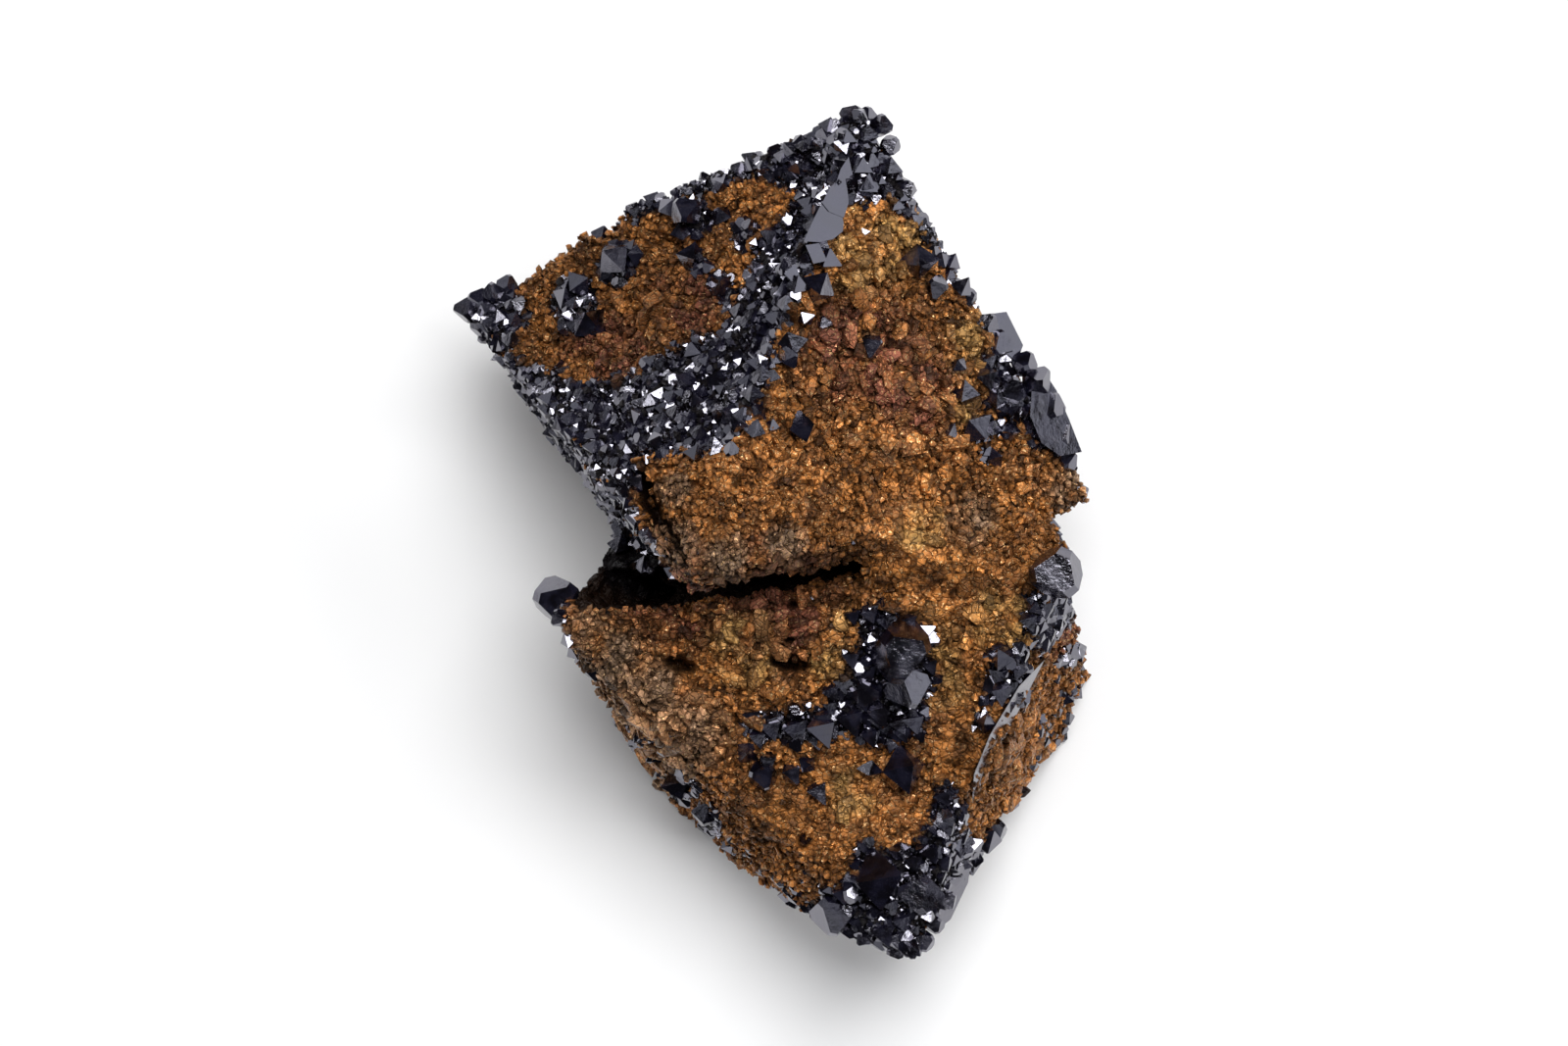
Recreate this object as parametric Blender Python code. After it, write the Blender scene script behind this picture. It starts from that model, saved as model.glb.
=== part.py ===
# Copper pseudomorph specimen: two octahedra of copper after cuprite, grown into each other, with
# small dark cuprite crystals grown on their edges and faces. It is one natural piece, so one object.
# Metres, +Z up. The specimen lies on its back, where it broke from its matrix, and the origin is on
# that flat break. +Y runs from the lower crystal to the upper one.

import math
import random

import bpy
import bmesh
from mathutils import Matrix, Vector, noise
from mathutils.bvhtree import BVHTree

MM = 0.001

# Corners of the two crystals, in millimetres, named as they lie seen from above.
UPPER = {
    "top": (4.6, 24.4, 25.0),
    "left": (-19.9, 13.4, 11.7),
    "front": (-5.5, -3.3, 30.7),
    "right": (19.1, 1.3, 15.3),
    "bottom": (-4.6, -9.4, 2.0),
    "back": (4.7, 17.9, -3.7),
}
LOWER = {
    "left": (-14.0, -5.8, 19.5),
    "right": (16.7, -1.9, 22.5),
    "bottom": (7.6, -26.7, 16.0),
    "back_right": (20.3, -10.8, -3.0),
    "back_left": (-6.8, -19.4, -4.0),
    "back_top": (-4.0, 9.0, 0.5),
}
# Copper that fills the notch between the two on the right, where they are grown together.
NECK = (
    (3.4, 0.2, 23.6),
    (16.5, 1.4, 16.6),
    (17.2, -1.6, 20.6),
    (16.0, -4.8, 21.6),
    (5.6, -5.2, 20.6),
    (3.6, -2.8, 21.2),
    (4.0, 0.0, 8.0),
    (15.0, 0.0, 8.0),
    (14.0, -8.0, 8.0),
    (5.0, -8.0, 8.0),
)

# Positions below are on the sight plane: where an eye straight above the origin sees them.
SIGHT_PLANE = 21.5
EYE_ABOVE_PLANE = 275.0

FACE_CUTS = 11
NECK_CUTS = 2
LUMP_HEIGHT = 0.42
LUMP_LENGTH = 2.6
COARSE_SHARE = 0.7
FINE_SHARE = 0.5
FINER = 2.1
FINE_SHIFT = Vector((7.0, 3.0, 1.0))
# A corner counts as on a face where its normal is this near to the face's, as a cosine.
FACING = 0.93

# The upper crystal's left face stands this much lower than its front corner, which is a block of
# bare copper with this outline on the sight plane.
LEFT_FACE_DROP = 1.2
FRONT_BLOCK = ((-3.0, 4.9), (-9.2, 3.9), (-7.4, -3.0), (-5.2, -5.0), (3.0, 6.0))
# The deep notch between that block and the crust beside it.
NOTCH = ((-8.5, 2.6), (-6.9, -3.9), (-5.9, -3.9))
NOTCH_FLOOR = 23.0
NOTCH_HEIGHT = 20.0

# Where the two crystals part on the left: a thin deep slit under the front corner, and the hollow it
# opens into. Each is the convex solid of these corners.
SLIT = (
    (-7.2, -3.7, 27.3),
    (-7.2, -6.4, 27.3),
    (5.0, -2.3, 22.5),
    (5.0, -3.6, 23.0),
    (-7.2, -2.6, 12.0),
    (-7.2, -3.2, 12.0),
    (5.0, -1.4, 13.0),
    (5.0, -2.2, 13.0),
)
HOLLOW = (
    (-12.7, -3.4, 24.0),
    (-11.0, -2.3, 24.0),
    (-6.6, -2.8, 24.0),
    (-6.5, -5.4, 24.0),
    (-9.5, -5.5, 24.0),
    (-12.2, -5.1, 24.0),
    (-11.8, -3.8, 17.0),
    (-10.4, -2.8, 14.5),
    (-7.2, -3.2, 9.5),
    (-7.2, -4.6, 9.5),
    (-11.2, -4.6, 16.0),
)

# Open pits in the copper: x, y on the sight plane, and the width.
PITS = (
    (-6.6, -8.8, 1.6),
    (0.1, -8.6, 1.9),
    (-2.6, 0.9, 1.1),
    (1.2, -19.2, 1.0),
    (8.5, -15.2, 1.1),
)

# Large cuprite crystals: x, y on the sight plane, width, and how far each stands out of the copper
# as a share of its width.
UPPER_CRYSTALS = (
    (4.3, 24.3, 3.0, 0.2),
    (5.5, 23.9, 2.8, 0.2),
    (2.4, 18.7, 4.4, 0.05),
    (1.5, 16.2, 2.4, 0.2),
    (-0.2, 13.4, 2.9, 0.1),
    (0.9, 12.4, 1.6, 0.3),
    (0.6, 10.3, 2.2, 0.3),
    (0.7, 6.2, 1.8, 0.3),
    (4.8, 11.3, 1.8, 0.2),
    (7.8, 15.6, 2.1, 0.3),
    (9.5, 14.1, 1.8, 0.3),
    (8.6, 17.4, 1.6, 0.3),
    (14.6, 9.4, 2.4, 0.2),
    (16.8, 3.9, 2.4, 0.2),
    (12.5, 8.7, 2.3, 0.3),
    (10.3, 7.9, 1.5, 0.3),
    (11.7, 5.7, 1.9, 0.3),
    (13.1, 5.6, 1.5, 0.3),
    (12.2, 4.1, 1.6, 0.3),
    (9.9, 5.2, 1.4, 0.3),
    (-18.4, 12.9, 3.4, 0.2),
    (-16.3, 11.6, 2.2, 0.2),
    (-9.7, 15.5, 2.6, 0.3),
    (-12.3, 14.2, 2.6, 0.2),
    (-11.8, 12.3, 2.2, 0.2),
    (-5.0, 18.1, 3.0, 0.1),
    (-5.2, 15.3, 2.2, 0.2),
    (-3.2, 5.2, 2.6, 0.2),
    (-5.0, 6.4, 1.9, 0.2),
    (-9.3, 1.7, 2.6, 0.1),
    (-8.9, -2.2, 2.8, 0.2),
    (-9.9, -0.9, 2.0, 0.2),
)
LOWER_CRYSTALS = (
    (16.2, -2.7, 3.9, 0.35),
    (16.2, -5.2, 1.8, 0.3),
    (14.8, -6.2, 1.7, 0.3),
    (13.3, -7.9, 2.0, 0.3),
    (12.2, -9.2, 2.0, 0.3),
    (6.9, -7.6, 5.6, 0.15),
    (4.6, -9.8, 3.4, 0.25),
    (6.8, -11.9, 2.2, 0.25),
    (3.3, -11.8, 3.3, 0.2),
    (0.9, -12.3, 3.3, 0.2),
    (-1.2, -12.6, 2.6, 0.2),
    (6.9, -14.2, 3.1, 0.2),
    (-0.8, -15.2, 2.3, 0.25),
    (-2.1, -13.9, 1.8, 0.3),
    (1.1, -14.7, 1.6, 0.25),
    (2.0, -16.5, 1.7, 0.2),
    (6.1, -20.2, 5.4, 0.15),
    (2.9, -23.6, 5.4, 0.1),
    (6.2, -24.3, 2.6, 0.3),
    (8.0, -25.6, 2.6, 0.3),
    (9.6, -21.6, 5.2, 0.05),
    (9.7, -16.6, 1.8, 0.3),
    (9.6, -18.6, 1.9, 0.3),
    (12.4, -13.6, 3.0, 0.0),
    (11.4, -16.0, 2.8, 0.0),
    (18.3, -9.2, 1.6, 0.2),
    (-8.4, -13.4, 2.4, 0.2),
    (-4.9, -16.9, 2.6, 0.2),
)

# Crystals that stand out over an edge or a corner: the centre and the width.
UPPER_OVERHANGS = (((13.4, 11.2, 19.4), 3.6), ((15.7, 7.0, 17.6), 4.8))
LOWER_OVERHANGS = (((-14.0, -4.7, 17.8), 3.4),)

# The crust of smaller crystals: the outline of each patch on the sight plane, how many crystals,
# and their least and greatest width.
UPPER_CRUST = (
    (
        (
            (-19.0, 12.2), (-15.8, 9.2), (-13.0, 9.8), (-9.4, 9.0), (-5.6, 11.2), (-3.6, 13.4),
            (-0.9, 16.8), (0.6, 16.6), (-1.2, 11.0), (-2.6, 6.0), (-6.0, 5.4), (-8.4, 4.4),
            (-8.6, -1.5), (-9.2, -3.2),
        ),
        84, 1.3, 2.4,
    ),
    (
        (
            (-9.0, 18.6), (-2.0, 21.4), (3.4, 24.0), (3.6, 22.0), (1.6, 19.4), (-0.6, 17.6),
            (-3.4, 18.6),
        ),
        34, 1.2, 2.3,
    ),
    (
        ((4.6, 23.6), (3.4, 19.6), (5.4, 18.4), (7.6, 17.6), (9.8, 14.6), (8.6, 18.6), (6.4, 22.4)),
        20, 1.2, 2.1,
    ),
    (
        ((10.6, 13.8), (9.8, 15.0), (12.8, 10.8), (17.6, 3.2), (16.8, 3.6)),
        8, 1.0, 1.7,
    ),
)
LOWER_CRUST = (
    (
        (
            (1.4, -22.4), (4.0, -25.4), (8.0, -26.6), (9.8, -24.4), (9.6, -19.6), (7.0, -18.2),
            (5.0, -21.0),
        ),
        18, 1.1, 2.0,
    ),
    (
        ((4.0, -8.6), (8.6, -9.0), (8.4, -12.8), (5.2, -13.0), (-1.6, -13.4), (0.6, -10.8)),
        12, 1.1, 1.8,
    ),
)

# Crystals on the sides that this eye doesn't see: on each host, the first and the last direction they
# lie in, in degrees counter-clockwise from +X, how many, and the seed that places them.
UPPER_SIDES = (-10.0, 195.0, 24, 21)
LOWER_SIDES = (258.0, 322.0, 14, 22)
SIDE_HEIGHTS = (2.5, 9.5)
SIDE_WIDTHS = (1.5, 3.2)
SIDE_START = 60.0

# How far a crystal may turn from its host, in degrees, and how deep it is sunk, as a share of its
# width.
CRYSTAL_TURN = 9.0
CRUST_TURN = 36.0
CRYSTAL_SINK = 0.22
CRUST_TRIES = 6
CRYSTAL_SEEDS = (11, 12)
PIT_SEED = 5
PIT_TURN = 40.0
# An octahedral pit is as wide as its mouth times this from corner to corner.
PIT_REACH = 1.6

COPPER_COLOUR = (0.30, 0.13, 0.045, 1.0)
CUPRITE_COLOUR = (0.018, 0.017, 0.026, 1.0)

# The plane of the break, and how far its cutter reaches.
CUTTER_SIZE = 80.0
# Corners nearer to each other than this, in metres, become one.
WELD_DISTANCE = 0.000005


def clear_scene():
    for obj in list(bpy.data.objects):
        bpy.data.objects.remove(obj)


def material(name, colour, roughness, metallic):
    made = bpy.data.materials.new(name)
    made.use_nodes = True
    shader = made.node_tree.nodes["Principled BSDF"]
    shader.inputs["Base Color"].default_value = colour
    shader.inputs["Roughness"].default_value = roughness
    shader.inputs["Metallic"].default_value = metallic
    return made


def object_from(bm, name, *materials):
    bmesh.ops.recalc_face_normals(bm, faces=bm.faces)
    mesh = bpy.data.meshes.new(name)
    bm.to_mesh(mesh)
    bm.free()
    for made in materials:
        mesh.materials.append(made)
    obj = bpy.data.objects.new(name, mesh)
    bpy.context.scene.collection.objects.link(obj)
    return obj


def helper(obj):
    """A cutter or a joined piece: it shapes the specimen and isn't part of it."""
    obj.hide_render = True
    obj.display_type = "WIRE"
    return obj


def join(target, other, operation, solver_self=False):
    change = target.modifiers.new(other.name, "BOOLEAN")
    change.object = other
    change.operation = operation
    change.solver = "EXACT"
    change.use_self = solver_self
    change.material_mode = "TRANSFER"


def hull(bm, points):
    """The convex solid of these points, in millimetres, added to bm."""
    corners = [bm.verts.new(Vector(point) * MM) for point in points]
    bmesh.ops.convex_hull(bm, input=corners)


def inside(x, y, outline):
    """True where a point of the sight plane is inside a closed outline."""
    found = False
    for (ax, ay), (bx, by) in zip(outline, outline[1:] + outline[:1]):
        if (ay > y) != (by > y) and x < ax + (y - ay) * (bx - ax) / (by - ay):
            found = not found
    return found


def seen_at(point):
    """Where the eye sees a point of the specimen: x and y on the sight plane, in millimetres."""
    x, y, z = (c / MM for c in point)
    scale = EYE_ABOVE_PLANE / (SIGHT_PLANE + EYE_ABOVE_PLANE - z)
    return x * scale, y * scale


def sight_line(x, y):
    eye = Vector((0.0, 0.0, (SIGHT_PLANE + EYE_ABOVE_PLANE) * MM))
    return eye, (Vector((x * MM, y * MM, SIGHT_PLANE * MM)) - eye).normalized()


def face_normal(*corners):
    a, b, c = (Vector(corner) for corner in corners)
    return (b - a).cross(c - a).normalized()


def lumpy(co):
    """Low lumps of the copper with finer ones on them, from about -1 to 1."""
    p = co / (LUMP_LENGTH * MM)
    return COARSE_SHARE * noise.noise(p) + FINE_SHARE * noise.noise(p * FINER + FINE_SHIFT)


def lower_left_face(bm):
    """Sets the upper crystal's left face inwards, all but the block at its front corner."""
    toward = face_normal(UPPER["top"], UPPER["left"], UPPER["front"])
    for vert in bm.verts:
        if vert.normal.dot(toward) > FACING and not inside(*seen_at(vert.co), FRONT_BLOCK):
            vert.co -= toward * LEFT_FACE_DROP * MM


def roughen(bm):
    for vert in bm.verts:
        vert.co += vert.normal * lumpy(vert.co) * LUMP_HEIGHT * MM


def rough_solid(name, corners, cuts, copper, shape=None):
    """A convex solid of copper: even triangles over its faces, and low lumps on them."""
    bm = bmesh.new()
    hull(bm, corners)
    bmesh.ops.subdivide_edges(bm, edges=bm.edges, cuts=cuts, use_grid_fill=True)
    bm.normal_update()
    if shape is not None:
        shape(bm)
        bm.normal_update()
    roughen(bm)
    return object_from(bm, name, copper)


def make_gap(copper):
    """All that parts the two crystals: the notch beside the front corner, the slit and the hollow."""
    notch = [(x, y, z) for x, y in NOTCH for z in (NOTCH_FLOOR, NOTCH_FLOOR + NOTCH_HEIGHT)]
    bm = bmesh.new()
    for corners in (notch, SLIT, HOLLOW):
        hull(bm, corners)
    return object_from(bm, "gap", copper)


def axes_of(corners, pairs):
    """The three crystal axes as unit vectors, each from a corner to the one opposite."""
    return [(Vector(corners[a]) - Vector(corners[b])).normalized() for a, b in pairs]


def add_crystal(bm, centre, axes, width, turn):
    """One octahedron that lies parallel to its host, but for a small turn."""
    points = []
    for axis in axes:
        arm = turn @ axis * (width * 0.5 * MM)
        points += [centre + arm, centre - arm]
    corners = [bm.verts.new(point) for point in points]
    bmesh.ops.convex_hull(bm, input=corners)


def small_turn(rng, degrees):
    axis = Vector([rng.uniform(-1, 1) for _ in range(3)]).normalized()
    return Matrix.Rotation(math.radians(rng.uniform(-degrees, degrees)), 3, axis)


def crust_points(rng, outline, count):
    """Random points inside an outline, kept apart: of several tries, the one farthest from the rest."""
    xs, ys = zip(*outline)
    found = []
    while len(found) < count:
        tries = []
        while len(tries) < CRUST_TRIES:
            x, y = rng.uniform(min(xs), max(xs)), rng.uniform(min(ys), max(ys))
            if inside(x, y, outline):
                tries.append((x, y))
        found.append(max(tries, key=lambda t: min([math.dist(t, f) for f in found], default=0.0)))
    return found


def side_crystals(corners, sides):
    """Level lines towards the middle of a host, spread over its sides, and the width of each crystal."""
    first, last, count, seed = sides
    rng = random.Random(seed)
    middle = sum((Vector(corner) for corner in corners), Vector()) / len(corners)
    found = []
    for step in range(count):
        angle = math.radians(first + (last - first) * (step + rng.random()) / count)
        way = Vector((math.cos(angle), math.sin(angle), 0.0))
        start = Vector((middle.x, middle.y, rng.uniform(*SIDE_HEIGHTS))) + way * SIDE_START
        found.append(((start * MM, -way), rng.uniform(*SIDE_WIDTHS)))
    return found


def make_crystals(name, rng, host, axes, large, crust, overhangs, sides, cuprite):
    """All the cuprite crystals of one host, each set on its surface along a line that meets it."""
    bm = bmesh.new()
    for centre, width in overhangs:
        add_crystal(bm, Vector(centre) * MM, axes, width, small_turn(rng, CRYSTAL_TURN))
    wanted = [(sight_line(x, y), width, stand, CRYSTAL_TURN) for x, y, width, stand in large]
    for outline, count, least, most in crust:
        for x, y in crust_points(rng, outline, count):
            wanted.append((sight_line(x, y), rng.uniform(least, most), CRYSTAL_SINK, CRUST_TURN))
    wanted += [(line, width, CRYSTAL_SINK, CRUST_TURN) for line, width in sides]
    for line, width, stand, turn in wanted:
        point, normal, _, _ = host.ray_cast(*line)
        if point is not None:
            centre = point + normal * (stand - CRYSTAL_SINK) * width * MM
            add_crystal(bm, centre, axes, width, small_turn(rng, turn))
    return object_from(bm, name, cuprite)


def make_pits(host, copper):
    """Small octahedral hollows, left where a crystal fell out."""
    bm = bmesh.new()
    upright = [Vector((1, 0, 0)), Vector((0, 1, 0)), Vector((0, 0, 1))]
    rng = random.Random(PIT_SEED)
    for x, y, width in PITS:
        point = host.ray_cast(*sight_line(x, y))[0]
        add_crystal(bm, point, upright, width * PIT_REACH, small_turn(rng, PIT_TURN))
    return object_from(bm, "pits", copper)


def make_floor_cutter(copper):
    bm = bmesh.new()
    bmesh.ops.create_cube(bm, size=CUTTER_SIZE * MM)
    bmesh.ops.translate(bm, verts=bm.verts, vec=(0, 0, -CUTTER_SIZE / 2 * MM))
    return object_from(bm, "break_cutter", copper)


def surface_of(*objs):
    """What a sight line meets: the evaluated surfaces of these objects together."""
    bpy.context.view_layer.update()
    graph = bpy.context.evaluated_depsgraph_get()
    points, faces = [], []
    for obj in objs:
        mesh = obj.evaluated_get(graph).to_mesh()
        start = len(points)
        points += [vert.co.copy() for vert in mesh.vertices]
        faces += [[start + i for i in face.vertices] for face in mesh.polygons]
    return BVHTree.FromPolygons(points, faces)


def build():
    clear_scene()
    copper = material("copper", COPPER_COLOUR, 0.62, 0.45)
    cuprite = material("cuprite", CUPRITE_COLOUR, 0.2, 0.0)

    specimen = rough_solid("copper_pseudomorph", UPPER.values(), FACE_CUTS, copper, lower_left_face)
    lower = helper(rough_solid("lower_crystal", LOWER.values(), FACE_CUTS, copper))
    neck = helper(rough_solid("neck", NECK, NECK_CUTS, copper))
    join(specimen, lower, "UNION")
    join(specimen, neck, "UNION")
    join(specimen, helper(make_gap(copper)), "DIFFERENCE", solver_self=True)
    host = surface_of(specimen)
    join(specimen, helper(make_pits(host, copper)), "DIFFERENCE")

    upper_axes = axes_of(UPPER, (("top", "bottom"), ("left", "right"), ("front", "back")))
    lower_axes = axes_of(LOWER, (("left", "back_right"), ("right", "back_left"), ("bottom", "back_top")))
    upper_crystals = make_crystals(
        "upper_cuprite", random.Random(CRYSTAL_SEEDS[0]), host, upper_axes,
        UPPER_CRYSTALS, UPPER_CRUST, UPPER_OVERHANGS,
        side_crystals(UPPER.values(), UPPER_SIDES), cuprite)
    lower_crystals = make_crystals(
        "lower_cuprite", random.Random(CRYSTAL_SEEDS[1]), host, lower_axes,
        LOWER_CRYSTALS, LOWER_CRUST, LOWER_OVERHANGS,
        side_crystals(LOWER.values(), LOWER_SIDES), cuprite)
    join(specimen, helper(upper_crystals), "UNION", solver_self=True)
    join(specimen, helper(lower_crystals), "UNION", solver_self=True)
    join(specimen, helper(make_floor_cutter(copper)), "DIFFERENCE")
    weld = specimen.modifiers.new("weld", "WELD")
    weld.merge_threshold = WELD_DISTANCE


build()
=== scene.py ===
# Copper after cuprite: the looks of the specimen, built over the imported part.
import math
import random

import bmesh
import bpy
import numpy as np
from mathutils import Euler, Matrix, Vector, noise
from mathutils.bvhtree import BVHTree


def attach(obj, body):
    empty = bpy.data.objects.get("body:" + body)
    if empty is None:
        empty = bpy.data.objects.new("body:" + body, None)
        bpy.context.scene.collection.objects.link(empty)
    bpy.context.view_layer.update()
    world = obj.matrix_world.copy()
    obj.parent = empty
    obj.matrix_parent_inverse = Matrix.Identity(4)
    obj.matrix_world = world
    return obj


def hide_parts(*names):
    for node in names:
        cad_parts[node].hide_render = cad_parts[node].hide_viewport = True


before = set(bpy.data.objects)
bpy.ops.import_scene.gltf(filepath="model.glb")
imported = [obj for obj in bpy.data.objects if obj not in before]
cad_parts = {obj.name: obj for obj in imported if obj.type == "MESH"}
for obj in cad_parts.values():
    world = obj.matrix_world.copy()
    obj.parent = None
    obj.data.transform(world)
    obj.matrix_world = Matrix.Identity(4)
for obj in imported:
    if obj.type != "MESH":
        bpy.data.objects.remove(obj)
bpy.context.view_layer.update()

mm = 0.001

# the photograph's eye, straight above the specimen
photo = {
    "width": 1600,
    "height": 1067,
    "pixelsPerMm": 17.0,     # on the sight plane
    "sightPlane": 21.5 * mm,
    "eyeHeight": 296.5 * mm,
    "sensor": 36.0,
}
eye = Vector((0, 0, photo["eyeHeight"]))
eyeDrop = photo["eyeHeight"] - photo["sightPlane"]


def sightRay(px, py):
    x = (px - photo["width"] / 2) / photo["pixelsPerMm"] * mm
    y = (photo["height"] / 2 - py) / photo["pixelsPerMm"] * mm
    return eye, (Vector((x, y, photo["sightPlane"])) - eye).normalized()


def pixelsOf(points):
    scale = photo["pixelsPerMm"] / mm * eyeDrop / (photo["eyeHeight"] - points[:, 2])
    return np.stack([photo["width"] / 2 + points[:, 0] * scale,
                     photo["height"] / 2 - points[:, 1] * scale], 1)


# small helpers
def smoothStep(values, low, high):
    t = np.clip((values - low) / (high - low), 0, 1)
    return t * t * (3 - 2 * t)


def cellsAt(points, size, shift=0.0):
    # nearly 0 on the borders of irregular cells, and more towards their middles
    found = [noise.voronoi(p)[0] for p in points / size + shift]
    return np.array([d[1] - d[0] for d in found])


def noiseAt(points, size, shift=0.0):
    scaled = points / size + shift
    return np.array([noise.noise(p) for p in scaled])


def depthInside(pixels, outline):
    # pixels inside the closed outline get their distance from it, those outside minus it
    a = np.array(outline, float)
    b = np.roll(a, -1, 0)
    near = np.full(len(pixels), 1e9)
    within = np.zeros(len(pixels), bool)
    x, y = pixels[:, 0], pixels[:, 1]
    for (ax, ay), (bx, by) in zip(a, b):
        ex, ey = bx - ax, by - ay
        t = np.clip(((x - ax) * ex + (y - ay) * ey) / (ex * ex + ey * ey + 1e-9), 0, 1)
        near = np.minimum(near, np.hypot(x - ax - t * ex, y - ay - t * ey))
        if ay != by:
            crossed = ((ay > y) != (by > y)) & (x < ax + (y - ay) * ex / ey)
            within ^= crossed
    return np.where(within, near, -near)


def nearLine(pixels, line):
    near = np.full(len(pixels), 1e9)
    x, y = pixels[:, 0], pixels[:, 1]
    for (ax, ay), (bx, by) in zip(line[:-1], line[1:]):
        ex, ey = bx - ax, by - ay
        t = np.clip(((x - ax) * ex + (y - ay) * ey) / (ex * ex + ey * ey), 0, 1)
        near = np.minimum(near, np.hypot(x - ax - t * ex, y - ay - t * ey))
    return near


def blobs(pixels, spots):
    # how much each pixel belongs to a few soft round spots: x, y, radius
    share = np.zeros(len(pixels))
    for x, y, radius in spots:
        far = np.hypot(pixels[:, 0] - x, pixels[:, 1] - y)
        share = np.maximum(share, 1 - smoothStep(far, radius * 0.4, radius * 1.2))
    return share


def setValues(mesh, values):
    for key, numbers in values.items():
        mesh.attributes.new(key, "FLOAT", "POINT").data.foreach_set("value", np.float32(numbers))


def linked(mesh, mat=None):
    if mat:
        mesh.materials.append(mat)
    obj = bpy.data.objects.new(mesh.name, mesh)
    bpy.context.scene.collection.objects.link(obj)
    return obj


def newObject(name, verts, faces, mat, values=None):
    mesh = bpy.data.meshes.new(name)
    mesh.from_pydata(verts, [], faces)
    setValues(mesh, values or {})
    return linked(mesh, mat)


def objectFrom(bm, name, mat=None):
    bmesh.ops.recalc_face_normals(bm, faces=bm.faces)
    mesh = bpy.data.meshes.new(name)
    bm.to_mesh(mesh)
    bm.free()
    return linked(mesh, mat)


def finishPiece(obj):
    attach(obj, "root")
    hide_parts("copper_pseudomorph")
    print(obj.name, len(obj.data.polygons), "faces")


# materials
def node(tree, kind, settings=None, **values):
    made = tree.nodes.new(kind)
    for key, value in (settings or {}).items():
        setattr(made, key, value)
    for key, value in values.items():
        made.inputs[key].default_value = value
    return made


def mixColour(tree, factor, a, b):
    made = node(tree, "ShaderNodeMix", {"data_type": "RGBA"})
    for socket, value in ((0, factor), (6, a), (7, b)):
        if isinstance(value, bpy.types.NodeSocket):
            tree.links.new(value, made.inputs[socket])
        else:
            made.inputs[socket].default_value = value
    return made.outputs[2]


def ramp(tree, value, low, high, toLow=0.0, toHigh=1.0):
    made = node(tree, "ShaderNodeMapRange", {"interpolation_type": "SMOOTHSTEP"})
    tree.links.new(value, made.inputs[0])
    for i, number in enumerate((low, high, toLow, toHigh)):
        made.inputs[i + 1].default_value = number
    return made.outputs[0]


def attribute(tree, name):
    return node(tree, "ShaderNodeAttribute", {"attribute_name": name}).outputs["Fac"]


def newMaterial(name):
    mat = bpy.data.materials.new(name)
    mat.use_nodes = True
    tree = mat.node_tree
    return mat, tree, tree.nodes["Principled BSDF"], node(tree, "ShaderNodeTexCoord").outputs["Object"]


def noiseTexture(tree, place, size, detail=3.0, roughness=0.55):
    made = node(tree, "ShaderNodeTexNoise", Scale=1 / size, Detail=detail, Roughness=roughness)
    tree.links.new(place, made.inputs["Vector"])
    return made.outputs["Fac"]


copperLooks = {
    "dark": (0.014, 0.006, 0.003, 1),
    "brown": (0.455, 0.174, 0.053, 1),
    "orange": (0.900, 0.348, 0.086, 1),
    "gold": (0.900, 0.500, 0.160, 1),
    "maroon": (0.430, 0.145, 0.084, 1),
    "grey": (0.560, 0.350, 0.215, 1),
    "underCrust": (0.008, 0.006, 0.007, 1),
    "glint": (1.0, 0.640, 0.300, 1),
    "roughness": (0.24, 0.62),
    "metallic": (0.10, 0.75),
    "specular": 0.22,
    "patches": 1.6 * mm,      # of brown and orange
    "fine": 0.34 * mm,
    "fineShade": 0.75,         # how dark the lows of the fine noise are: painted shade in the hollows of the fine bumps
    "specks": 0.16 * mm,
    "shiny": 0.7 * mm,        # patches that are more metallic
    "crack": 0.48 * mm,       # size of the cells between the cracks
    # painted shade: how dark the cracks between the fused grains are
    "crackShade": 0.55,
    "crackWave": (0.5 * mm, 0.3 * mm),    # how the cracks bend: length and height
    "crackDepth": 0.09 * mm,
    "fineDepth": 0.12 * mm,
}


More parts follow.
